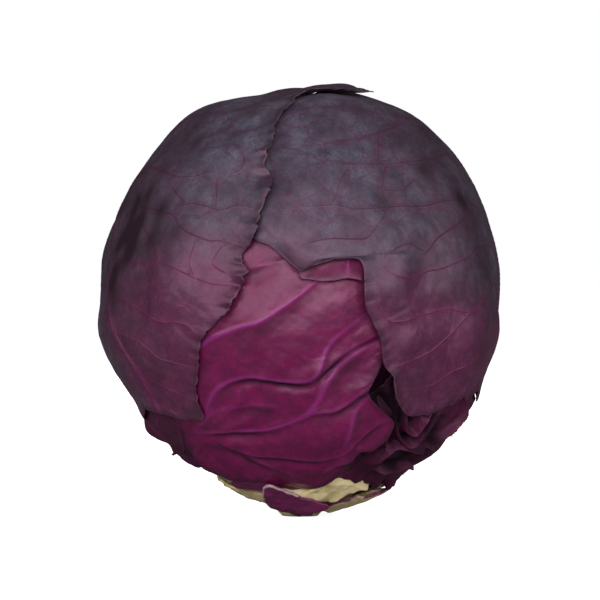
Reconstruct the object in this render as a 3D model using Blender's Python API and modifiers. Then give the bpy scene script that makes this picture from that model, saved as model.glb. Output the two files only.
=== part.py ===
"""A red cabbage head, standing on its trimmed stem.

Metres, +Z up, the front of the head towards -Y. The origin is the centre of the stem's cut face.
The head is a ball of packed inner leaves, the heart, with loose leaves laid over it one on another.
A leaf is a patch of the head's surface around its own middle point. Its margin is given by bearings
and reaches: the bearing turns clockwise from the top of the head as seen from outside, and the reach
is the angle from the leaf's middle to its margin. Each leaf sits on whatever leaves lie below it.
"""

import math

import bmesh
import bpy
from mathutils import Vector

# Driving dimensions
HEAD_WIDTH = 0.150
HEAD_DEPTH = 0.148
HEAD_HEIGHT = 0.161
STEM_FACE_RADIUS = 0.0150
STEM_ROOT_RADIUS = 0.0172
STEM_CHAMFER = 0.0012
LEAF_THICKNESS = 0.0012
LEAF_GAP = 0.0010
BASE_THICKNESS = 0.0024

# What the loose leaves take up of the width, the depth and the height
SIDE_STACK = 0.0044
BACK_STACK = 0.0042
TOP_STACK = 0.0066

HEART_RADII = Vector(
    (
        HEAD_WIDTH / 2 - SIDE_STACK,
        HEAD_DEPTH / 2 - BACK_STACK,
        HEAD_HEIGHT / 2 - TOP_STACK,
    )
)
HEAD_CENTRE = Vector((0, 0, HEAD_HEIGHT / 2))
HEART_FOOT = 0.0095
FACE_GAP = 0.0003

# A covering leaf starts to rise FEATHER degrees before the margin below it, and is up by RISEN
FEATHER = 30.0
RISEN = 9.0

# Swellings and hollows of the whole head: longitude, latitude and width in degrees, height in metres
SWELLINGS = (
    (80, 42, 26, 0.0018),
    (75, -38, 20, 0.0012),
    (-90, 32, 24, -0.0014),
    (-88, -36, 20, -0.0030),
    (0, -90, 30, -0.0012),
    (170, 20, 40, 0.0012),
)

# The cream bases left round the stem where outer leaves were trimmed off: longitude, then the reach
# towards the stem, the reach up the head and the half width, all in degrees
LEAF_BASES = (
    (-42, 5.5, 8, 6.0),
    (-6, 5.0, 8, 6.5),
    (34, 5.5, 11, 7.0),
    (80, 5.5, 10, 7.0),
    (126, 5.0, 9, 6.5),
    (172, 5.5, 11, 7.0),
    (-142, 5.5, 10, 7.0),
    (-92, 5.0, 9, 7.0),
)

# Principled colours: red, green, blue and roughness
DARK_LEAF = (0.080, 0.050, 0.090, 0.42)
MID_LEAF = (0.130, 0.040, 0.095, 0.40)
BRIGHT_LEAF = (0.200, 0.022, 0.120, 0.35)
HEART_LEAF = (0.110, 0.015, 0.070, 0.40)
CREAM = (0.720, 0.650, 0.420, 0.55)
CUT_STEM = (0.700, 0.640, 0.470, 0.70)


def direction(longitude, latitude):
    """The unit vector at a longitude, counted from the front towards +X, and a latitude, in degrees."""
    turn, rise = math.radians(longitude), math.radians(latitude)
    flat = math.cos(rise)
    return Vector((math.sin(turn) * flat, -math.cos(turn) * flat, math.sin(rise)))


def smooth_step(value):
    """0 below 0, 1 above 1 and an even slope between."""
    share = min(max(value, 0.0), 1.0)
    return share * share * (3 - 2 * share)


def head_point(way, height):
    """The point at a height over the heart's surface, in a direction from the head's centre."""
    swell = 0.0
    for longitude, latitude, width, rise in SWELLINGS:
        apart = math.degrees(way.angle(direction(longitude, latitude)))
        swell += rise * math.exp(-((apart / width) ** 2))
    on_heart = Vector(r * w for r, w in zip(HEART_RADII, way))
    normal = Vector(w / r for r, w in zip(HEART_RADII, way)).normalized()
    return HEAD_CENTRE + on_heart + normal * (height + swell)


class Leaf:
    """A leaf's place and margin on the head, and the leaves that lie below it."""

    def __init__(self, name, middle, margin, finish, below=(), segments=16, thickness=LEAF_THICKNESS):
        self.name = name
        self.margin = margin
        self.finish = finish
        self.below = below
        self.segments = segments
        self.thickness = thickness
        self.middle = direction(*middle)
        self.east = direction(middle[0] + 90, 0)
        self.north = self.middle.cross(self.east)

    def reach_at(self, bearing):
        """The margin's reach at a bearing, by a smooth curve through the margin's points."""
        knots = self.margin
        count = len(knots)
        bearing %= 360
        last = max((i for i in range(count) if knots[i][0] <= bearing), default=-1)

        def knot(i):
            return knots[i % count][0] + 360 * (i // count), knots[i % count][1]

        (b0, r0), (b1, r1), (b2, r2), (b3, r3) = (knot(last + k) for k in (-1, 0, 1, 2))
        span = b2 - b1
        share = (bearing - b1) / span
        slope_1 = (r2 - r0) / (b2 - b0) * span
        slope_2 = (r3 - r1) / (b3 - b1) * span
        return (
            r1 * (1 + 2 * share) * (1 - share) ** 2
            + slope_1 * share * (1 - share) ** 2
            + r2 * share**2 * (3 - 2 * share)
            + slope_2 * share**2 * (share - 1)
        )

    def way(self, bearing, reach):
        """The direction at a bearing and a reach from the leaf's middle."""
        turn, out = math.radians(bearing), math.radians(reach)
        sideways = self.north * math.cos(turn) + self.east * math.sin(turn)
        return self.middle * math.cos(out) + sideways * math.sin(out)

    def cover(self, way):
        """How far up a leaf lying over this one is at that direction: 1 over it, 0 well away from it."""
        reach = math.degrees(way.angle(self.middle))
        bearing = math.degrees(math.atan2(way.dot(self.east), way.dot(self.north)))
        past = reach - self.reach_at(bearing)
        return smooth_step((FEATHER - past) / (FEATHER - RISEN))

    def seat(self, way):
        """The height over the heart at which this leaf's inner face lies."""
        return LEAF_GAP + sum((l.thickness + LEAF_GAP) * l.cover(way) for l in self.below)

    def build(self, collection):
        """A grid shaped to the margin and laid on the head, given its thickness by Solidify."""
        shell = bmesh.new()
        bmesh.ops.create_grid(shell, x_segments=self.segments, y_segments=self.segments, size=1)
        for vertex in shell.verts:
            across, along = vertex.co.x, vertex.co.y
            round_across = across * math.sqrt(1 - along * along / 2)
            round_along = along * math.sqrt(1 - across * across / 2)
            bearing = math.degrees(math.atan2(round_across, round_along))
            share = math.hypot(round_across, round_along)
            way = self.way(bearing, share * self.reach_at(bearing))
            vertex.co = head_point(way, self.seat(way))
        bmesh.ops.recalc_face_normals(shell, faces=shell.faces)
        middle_face = min(shell.faces, key=lambda f: (f.calc_center_median() - HEAD_CENTRE).angle(self.middle))
        if middle_face.normal.dot(self.middle) < 0:
            bmesh.ops.reverse_faces(shell, faces=shell.faces)
        leaf = add_object(self.name, shell, self.finish, collection)
        solid = leaf.modifiers.new("thickness", "SOLIDIFY")
        solid.thickness = self.thickness
        solid.offset = 1
        return leaf


def add_object(name, shape, finish, collection):
    """Makes an object of a bmesh, with a material of its own, and shades it smooth."""
    mesh = bpy.data.meshes.new(name)
    shape.to_mesh(mesh)
    shape.free()
    mesh.shade_smooth()
    material = bpy.data.materials.new(name)
    material.use_nodes = True
    shader = material.node_tree.nodes["Principled BSDF"]
    shader.inputs["Base Color"].default_value = (*finish[:3], 1)
    shader.inputs["Roughness"].default_value = finish[3]
    mesh.materials.append(material)
    made = bpy.data.objects.new(name, mesh)
    collection.objects.link(made)
    return made


def build_heart(collection):
    """The ball of packed inner leaves, with a flat foot where the stem leaves it."""
    ball = bmesh.new()
    bmesh.ops.create_uvsphere(ball, u_segments=32, v_segments=20, radius=1)
    for vertex in ball.verts:
        vertex.co = head_point(vertex.co.normalized(), 0)
        vertex.co.z = max(vertex.co.z, HEART_FOOT)
    return add_object("heart", ball, HEART_LEAF, collection)


def build_stem(collection):
    """The trimmed stem, turned: a flat cut face below, widening to the heart's foot."""
    top = HEART_FOOT - FACE_GAP
    profile = (
        (0, top),
        (STEM_ROOT_RADIUS, top),
        (STEM_FACE_RADIUS + STEM_CHAMFER, STEM_CHAMFER),
        (STEM_FACE_RADIUS, 0),
        (0, 0),
    )
    line = bmesh.new()
    corners = [line.verts.new((radius, 0, height)) for radius, height in profile]
    for first, second in zip(corners, corners[1:]):
        line.edges.new((first, second))
    stem = add_object("stem", line, CUT_STEM, collection)
    turn = stem.modifiers.new("turn", "SCREW")
    turn.steps = turn.render_steps = 28
    turn.use_merge_vertices = True
    turn.merge_threshold = 0.00001
    return stem


def base_margin(inward, outward, half_width):
    """The margin of a leaf base near the stem: inward towards the stem, outward up the head."""
    shoulder = 0.82
    return (
        (0, outward),
        (45, math.hypot(outward, half_width) * shoulder),
        (90, half_width),
        (135, math.hypot(inward, half_width) * shoulder),
        (180, inward),
        (225, math.hypot(inward, half_width) * shoulder),
        (270, half_width),
        (315, math.hypot(outward, half_width) * shoulder),
    )


def design_leaves():
    """All the loose leaves, each with the ones below it."""
    lower_left = Leaf(
        "lower_left_leaf",
        (-72, -38),
        ((0, 30), (50, 27), (100, 28), (130, 31), (160, 33), (190, 34), (230, 31), (290, 32)),
        MID_LEAF,
        segments=12,
    )
    lower_right = Leaf(
        "lower_right_leaf",
        (52, -40),
        ((0, 30), (60, 34), (120, 33), (180, 31), (215, 30), (250, 28), (290, 27), (330, 30)),
        MID_LEAF,
        segments=12,
    )
    front = Leaf(
        "front_leaf",
        (-15, -12),
        (
            (0, 52),
            (40, 46),
            (74, 38),
            (95, 37),
            (112, 35),
            (124, 44),
            (140, 48),
            (161, 49),
            (174, 48),
            (185, 47),
            (197, 44),
            (217, 40),
            (245, 42),
            (280, 50),
            (320, 52),
        ),
        BRIGHT_LEAF,
        (lower_left, lower_right),
        16,
    )
    tucked = Leaf(
        "tucked_leaf",
        (13, 16),
        ((0, 20), (45, 22), (90, 18), (122, 14), (150, 11), (180, 11), (222, 14), (260, 14), (310, 18)),
        MID_LEAF,
        (front, lower_right),
        8,
    )
    back = Leaf(
        "back_leaf",
        (176, 12),
        (
            (0, 66),
            (40, 62),
            (80, 64),
            (110, 62),
            (135, 66),
            (160, 78),
            (180, 84),
            (200, 78),
            (225, 66),
            (250, 62),
            (290, 66),
            (325, 62),
        ),
        DARK_LEAF,
        (lower_left, lower_right, front),
        18,
    )
    right = Leaf(
        "right_wrapper_leaf",
        (65, 12),
        (
            (0, 75),
            (30, 74),
            (70, 70),
            (105, 62),
            (135, 56),
            (158, 56),
            (180, 49),
            (204, 49),
            (221, 50),
            (233, 47),
            (257, 47),
            (268, 50),
            (274, 61),
            (281, 71),
            (286, 75),
            (300, 75),
            (330, 74),
        ),
        DARK_LEAF,
        (lower_left, lower_right, front, tucked, back),
        18,
    )
    left = Leaf(
        "left_wrapper_leaf",
        (-85, 10),
        (
            (1, 93),
            (14, 89),
            (28, 77),
            (43, 71),
            (63, 70),
            (91, 69),
            (104, 64),
            (118, 59),
            (130, 62),
            (141, 64),
            (154, 55),
            (180, 52),
            (220, 56),
            (255, 62),
            (290, 70),
            (330, 80),
        ),
        DARK_LEAF,
        (lower_left, lower_right, front, tucked, back, right),
        18,
    )
    wrapped = (lower_left, lower_right, front, back, right, left)
    bases = [
        Leaf(
            f"leaf_base_{number}",
            (longitude, -68),
            base_margin(inward, outward, half_width),
            CREAM,
            wrapped,
            6,
            BASE_THICKNESS,
        )
        for number, (longitude, inward, outward, half_width) in enumerate(LEAF_BASES, start=1)
    ]
    return (lower_left, lower_right, front, tucked, back, right, left, *bases)


def main():
    """Clears the scene and builds the head, each sub-part as one object."""
    for old in list(bpy.data.objects):
        bpy.data.objects.remove(old)
    head = bpy.data.collections.new("red_cabbage_head")
    bpy.context.scene.collection.children.link(head)
    build_heart(head)
    build_stem(head)
    for leaf in design_leaves():
        leaf.build(head)


main()
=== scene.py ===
"""A red cabbage head standing on its trimmed stem, with its leaves, veins, folds and torn margins.

Metres, +Z up, the front of the head towards -Y. Places on the head are given by a longitude, counted
from the front towards +X, and a latitude, both in degrees. A leaf is a patch of the head's surface
around its own middle: a bearing turns clockwise from the head's top as seen from outside, and a
reach is the angle from the leaf's middle. Sizes on a leaf are in millimetres where a name ends in _mm.
"""

import logging
import math
from dataclasses import dataclass
from enum import Enum

import bpy
import numpy as np
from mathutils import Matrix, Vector


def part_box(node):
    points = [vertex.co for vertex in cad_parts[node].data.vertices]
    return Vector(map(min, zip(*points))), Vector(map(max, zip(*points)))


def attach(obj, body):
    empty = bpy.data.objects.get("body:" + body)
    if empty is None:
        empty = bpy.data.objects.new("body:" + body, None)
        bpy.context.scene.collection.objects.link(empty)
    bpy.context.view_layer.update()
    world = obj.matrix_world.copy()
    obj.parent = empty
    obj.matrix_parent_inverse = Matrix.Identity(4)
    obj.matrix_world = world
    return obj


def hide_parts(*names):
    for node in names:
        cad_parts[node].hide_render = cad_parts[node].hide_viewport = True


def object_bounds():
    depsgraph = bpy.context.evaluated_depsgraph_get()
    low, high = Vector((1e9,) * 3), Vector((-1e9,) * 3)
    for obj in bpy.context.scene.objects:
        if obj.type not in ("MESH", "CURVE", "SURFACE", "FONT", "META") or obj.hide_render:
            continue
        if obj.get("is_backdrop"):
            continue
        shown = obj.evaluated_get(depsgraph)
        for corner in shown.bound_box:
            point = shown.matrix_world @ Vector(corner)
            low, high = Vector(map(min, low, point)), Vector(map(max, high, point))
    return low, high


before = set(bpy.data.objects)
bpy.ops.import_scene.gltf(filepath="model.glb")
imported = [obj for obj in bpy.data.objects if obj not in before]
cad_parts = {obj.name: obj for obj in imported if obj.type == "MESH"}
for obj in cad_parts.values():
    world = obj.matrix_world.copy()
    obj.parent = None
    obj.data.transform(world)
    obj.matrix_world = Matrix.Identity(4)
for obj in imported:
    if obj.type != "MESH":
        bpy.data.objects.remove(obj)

log = logging.getLogger("red_cabbage")

Colour = tuple[float, float, float]
Route = tuple[tuple[float, float], ...]
Patches = tuple[tuple[float, float, float, float], ...]

BODY = "root"
MM = 0.001
BALL_MM = 75.0
# What a point with no vein near it keeps as its distance to one
FAR_MM = 30.0
# The leaf's outer face fills the first square of its UV map, and the inner face a smaller one beside it
UV_BORDER = 0.005
UV_OUTER = 0.68
UV_INNER = 0.29
UV_INNER_FROM = 0.70


class Slot(Enum):
    """The record's material slots."""

    HEART = "heart"
    STEM = "stem"
    WRAPPER = "wrapper_leaf"
    LOWER = "lower_leaf"
    INNER = "inner_leaf"
    BASE = "leaf_base"


# ---------------------------------------------------------------------------------------------
# Measuring on the head
# ---------------------------------------------------------------------------------------------


def toward(longitude: float, latitude: float) -> np.ndarray:
    """Finds the direction of a place on the head.

    Args:
        longitude: degrees from the front towards +X.
        latitude: degrees above the head's middle.

    Returns:
        A unit vector from the head's centre.
    """
    turn, rise = math.radians(longitude), math.radians(latitude)
    flat = math.cos(rise)
    return np.array((math.sin(turn) * flat, -math.cos(turn) * flat, math.sin(rise)))


def ease(share: np.ndarray) -> np.ndarray:
    """Returns 0 below 0, 1 above 1 and an even slope between."""
    held = np.clip(share, 0.0, 1.0)
    return held * held * (3 - 2 * held)


def ripple(places: np.ndarray, pitch: float, seed: int, waves: int = 18) -> np.ndarray:
    """Gives soft random unevenness.

    Args:
        places: N points.
        pitch: the usual distance from crest to crest, in the points' unit.
        seed: chooses the pattern.
        waves: how many waves are added.

    Returns:
        N heights, about 1 in size, most of them between -2 and 2.
    """
    chance = np.random.default_rng(seed)
    ways = chance.normal(size=(waves, places.shape[1]))
    ways /= np.linalg.norm(ways, axis=1)[:, None]
    ways *= (2 * math.pi / pitch) * chance.uniform(0.7, 1.4, waves)[:, None]
    return np.sin(places @ ways.T + chance.uniform(0, 2 * math.pi, waves)).sum(axis=1) / math.sqrt(
        waves / 2
    )


def smooth_route(route: Route, per_span: int = 6) -> np.ndarray:
    """Runs a smooth line over the head through the places of a route.

    Args:
        route: longitudes and latitudes.
        per_span: points made for each step of the route.

    Returns:
        The line's points, as unit vectors.
    """
    knots = np.array([toward(*place) for place in route])
    before, after = 2 * knots[0] - knots[1], 2 * knots[-1] - knots[-2]
    knots = np.vstack((before, knots, after))
    share = np.linspace(0, 1, per_span, endpoint=False)[:, None]
    spans = [
        0.5
        * (
            2 * b
            + (c - a) * share
            + (2 * a - 5 * b + 4 * c - d) * share**2
            + (3 * b - a - 3 * c + d) * share**3
        )
        for a, b, c, d in zip(knots, knots[1:], knots[2:], knots[3:])
    ]
    line = np.vstack((*spans, knots[-2:-1]))
    return line / np.linalg.norm(line, axis=1)[:, None]


@dataclass(frozen=True)
class HeadShape:
    """The ball of the head under its loose leaves."""

    centre: tuple[float, float, float]
    radii: tuple[float, float, float]
    crown: float = 0.0038
    # Latitude and width in degrees, height in metres
    shoulder: tuple[float, float, float] = (58, 15, 0.0017)
    # Longitude, latitude, width in degrees and height in metres
    swellings: tuple[tuple[float, float, float, float], ...] = (
        (80, 42, 26, 0.0014), (75, -38, 20, 0.0012), (88, -20, 10, -0.0022), (-88, 14, 12, 0.0012),
        (-88, -31, 9, -0.0076), (-88, -40, 14, -0.0022), (-70, -66, 14, -0.0022), (-88, -53, 10, -0.0042),
        (0, 90, 18, -0.0032), (0, -90, 30, -0.0012), (170, 20, 40, 0.0012),
    )
    lump_pitch: float = 0.6
    lump: float = 0.00045

    def skin(self, ways: np.ndarray, height: np.ndarray | float) -> np.ndarray:
        """Finds points over the ball.

        Args:
            ways: N directions from the head's centre.
            height: how far over the ball's surface, in metres.

        Returns:
            N points.
        """
        swell = self.lump * ripple(ways, self.lump_pitch, 5)
        for longitude, latitude, width, rise in self.swellings:
            apart = np.degrees(np.arccos(np.clip(ways @ toward(longitude, latitude), -1, 1)))
            swell += rise * np.exp(-((apart / width) ** 2))
        latitude, width, rise = self.shoulder
        level = np.degrees(np.arcsin(np.clip(ways[:, 2], -1, 1)))
        swell += rise * np.exp(-(((level - latitude) / width) ** 2))
        radii = np.array(self.radii) + np.where(ways[:, 2:] > 0, (0, 0, self.crown), 0)
        out = ways / radii
        out /= np.linalg.norm(out, axis=1)[:, None]
        return np.array(self.centre) + ways * radii + out * (height + swell)[:, None]


@dataclass(frozen=True)
class Vein:
    """A vein, a fold or both, along a route over the head.

    A fold rises along the line: gently on its left side, seen along the route, and with a lip that
    drops steeply into a hollow on its right side.
    """

    route: Route
    width_mm: float = 0.5
    rise_mm: float = 0.30
    fold_mm: float = 0.0
    lip_mm: float = 1.3
    spread_mm: float = 7.0
    hollow_mm: float = 0.0
    colour: float = 1.0
    # Painted shade: how dark the colour is painted along the line, for gaps and holes
    dark: float = 0.0


@dataclass
class VeinField:
    """How far each point of a leaf lies from its nearest vein, and what the veins and folds add, including
    the shade that they paint.
    """

    side_mm: np.ndarray
    gap_mm: np.ndarray
    width_mm: np.ndarray
    strength: np.ndarray
    height_mm: np.ndarray
    # Painted shade in gaps, holes and under the folds' lips
    crease: np.ndarray

    @classmethod
    def measure(cls, ways: np.ndarray, veins: tuple[Vein, ...]) -> "VeinField":
        """Measures every point against every vein.

        Args:
            ways: N directions of the leaf's points.
            veins: the leaf's veins.

        Returns:
            The field.
        """
        count = len(ways)
        made = cls(
            np.full(count, FAR_MM),
            np.full(count, FAR_MM),
            np.full(count, 0.4),
            np.zeros(count),
            np.zeros(count),
            np.zeros(count),
        )
        for vein in veins:
            made.add(ways, vein)
        return made

    def add(self, ways: np.ndarray, vein: Vein) -> None:
        """Adds one vein to the field.

        Args:
            ways: N directions of the leaf's points.
            vein: the vein.
        """
        line = smooth_route(vein.route)
        middle = line.mean(axis=0)
        widest = np.linalg.norm(line - middle, axis=1).max() + 0.42
        near = np.flatnonzero(np.linalg.norm(ways - middle, axis=1) < widest)
        if not len(near):
            return
        here = ways[near]
        starts, steps = line[:-1], np.diff(line, axis=0)
        best = np.full(len(near), 1e9)
        side = np.zeros(len(near))
        along = np.zeros(len(near))
        for index, (start, step) in enumerate(zip(starts, steps)):
            off = here - start
            share = np.clip(off @ step / (step @ step), 0, 1)
            apart = np.linalg.norm(off - share[:, None] * step, axis=1)
            closer = apart < best
            best[closer] = apart[closer]
            side[closer] = np.einsum("ij,ij->i", np.cross(step, off[closer]), here[closer])
            along[closer] = (index + share[closer]) / len(starts)
        gap = best * BALL_MM
        signed = np.where(side < 0, -gap, gap)
        taper = ease(np.minimum(along, 1 - along) / 0.22)
        thin = 1 - 0.3 * along
        won = gap < self.gap_mm[near]
        self.side_mm[near[won]] = signed[won]
        self.gap_mm[near[won]] = gap[won]
        self.width_mm[near[won]] = vein.width_mm * thin[won]
        self.strength[near[won]] = vein.colour * (0.25 + 0.75 * taper[won])
        ridge = vein.rise_mm * np.exp(-((gap / (0.7 + vein.width_mm * 0.6)) ** 2))
        self.height_mm[near] += ridge * (0.2 + 0.8 * taper)
        # Painted shade along lines that stand for gaps and holes
        if vein.dark:
            shade = vein.dark * (0.3 + 0.7 * taper) * np.exp(-((gap / (0.8 + vein.width_mm)) ** 2))
            self.crease[near] = np.maximum(self.crease[near], shade)
        if vein.fold_mm or vein.hollow_mm:
            upper = np.exp(-((np.maximum(signed, 0) / vein.spread_mm) ** 2))
            lower = np.exp(-((np.minimum(signed, 0) / vein.lip_mm) ** 2))
            hollow = np.exp(-(((signed + 1.9 * vein.lip_mm) / (1.6 * vein.lip_mm)) ** 2))
            swing = taper * (0.6 + 0.4 * np.sin(9 * along + 50 * line[0, 2]))
            self.height_mm[near] += swing * (vein.fold_mm * upper * lower - vein.hollow_mm * hollow)
            # Painted shade in the hollow under the fold's lip
            dark = np.exp(-(((signed + 1.2 * vein.lip_mm) / (0.9 * vein.lip_mm)) ** 2))
            amount = np.minimum((vein.fold_mm + vein.hollow_mm) / 2.0, 1.0)
            self.crease[near] = np.maximum(self.crease[near], swing * amount * dark)


# ---------------------------------------------------------------------------------------------
# Finishes
# ---------------------------------------------------------------------------------------------


class NodeSheet:
    """A node tree with short ways of adding what the finishes need."""

    def __init__(self, tree: bpy.types.NodeTree) -> None:
        """Takes the tree to work in."""
        self.tree = tree

    def add(self, kind: str, **settings: object) -> bpy.types.Node:
        """Adds a node and sets its properties.

        Args:
            kind: the node's type.
            settings: property values.

        Returns:
            The node.
        """
        node = self.tree.nodes.new(kind)
        for name, value in settings.items():
            setattr(node, name, value)
        return node

    def feed(self, socket: bpy.types.NodeSocket, value: object) -> None:
        """Links a socket, or sets its value.

        Args:
            socket: the input.
            value: another node's output, a number or a tuple. None leaves it as it is.
        """
        if isinstance(value, bpy.types.NodeSocket):
            self.tree.links.new(value, socket)
        elif isinstance(value, tuple) and len(value) == 3 and socket.type == "RGBA":
            socket.default_value = (*value, 1.0)
        elif value is not None:
            socket.default_value = value

    def sum(
        self, way: str, first: object, second: object = None, third: object = None, held: bool = False
    ) -> bpy.types.NodeSocket:
        """Adds a Math node.

        Args:
            way: the operation.
            first: the first input.
            second: the second input, if it has one.
            third: the third input, if it has one.
            held: whether the result is held between 0 and 1.

        Returns:
            The result.
        """
        node = self.add("ShaderNodeMath", operation=way, use_clamp=held)
        self.feed(node.inputs[0], first)
        self.feed(node.inputs[1], second)
        self.feed(node.inputs[2], third)
        return node.outputs[0]

    def span(
        self, value: object, low: float, high: float, to_low: float = 0.0, to_high: float = 1.0
    ) -> bpy.types.NodeSocket:
        """Maps a range of a value smoothly onto another range.

        Args:
            value: the input.
            low: the input's start.
            high: the input's end.
            to_low: what the start becomes.
            to_high: what the end becomes.

        Returns:
            The mapped value.
        """
        node = self.add("ShaderNodeMapRange", interpolation_type="SMOOTHSTEP")
        for socket, given in zip(node.inputs, (value, low, high, to_low, to_high)):
            self.feed(socket, given)
        return node.outputs[0]

    def blend(self, share: object, first: object, second: object) -> bpy.types.NodeSocket:
        """Mixes two colours.

        Args:
            share: how much of the second.
            first: a colour.
            second: a colour.

        Returns:
            The mixed colour.
        """
        node = self.add("ShaderNodeMix", data_type="RGBA")
        self.feed(node.inputs[0], share)
        self.feed(node.inputs[6], first)
        self.feed(node.inputs[7], second)
        return node.outputs[2]

    def noise(
        self, place: object, scale: float, detail: float = 3.0, rough: float = 0.55, twist: float = 0.0
    ) -> bpy.types.NodeSocket:
        """Adds a noise texture.

        Args:
            place: the coordinates.
            scale: waves per metre.
            detail: octaves.
            rough: how strong the fine ones are.
            twist: distortion.

        Returns:
            The noise, from 0 to 1.
        """
        node = self.add("ShaderNodeTexNoise")
        self.feed(node.inputs["Vector"], place)
        settings = {"Scale": scale, "Detail": detail, "Roughness": rough, "Distortion": twist}
        for name, value in settings.items():
            self.feed(node.inputs[name], value)
        return node.outputs["Fac"]

    def group(self, tree: bpy.types.NodeTree, **inputs: object) -> bpy.types.Node:
        """Places a node group and fills its inputs.

        Args:
            tree: the group.
            inputs: values by socket name, with _ for a space.

        Returns:
            The group node.
        """
        node = self.add("ShaderNodeGroup", node_tree=tree)
        for name, value in inputs.items():
            self.feed(node.inputs[name.replace("_", " ")], value)
        return node


def new_group(
    name: str, inputs: dict[str, str], outputs: dict[str, str]
) -> tuple[NodeSheet, bpy.types.Node, bpy.types.Node]:
    """Starts a shader node group.

    Args:
        name: the group's name.
        inputs: socket names and kinds.
        outputs: socket names and kinds.

    Returns:
        Its sheet, its input node and its output node.
    """
    tree = bpy.data.node_groups.new(name, "ShaderNodeTree")
    for names, direction in ((inputs, "INPUT"), (outputs, "OUTPUT")):
        for socket, kind in names.items():
            tree.interface.new_socket(socket, in_out=direction, socket_type=f"NodeSocket{kind}")
    sheet = NodeSheet(tree)
    return sheet, sheet.add("NodeGroupInput"), sheet.add("NodeGroupOutput")


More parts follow.
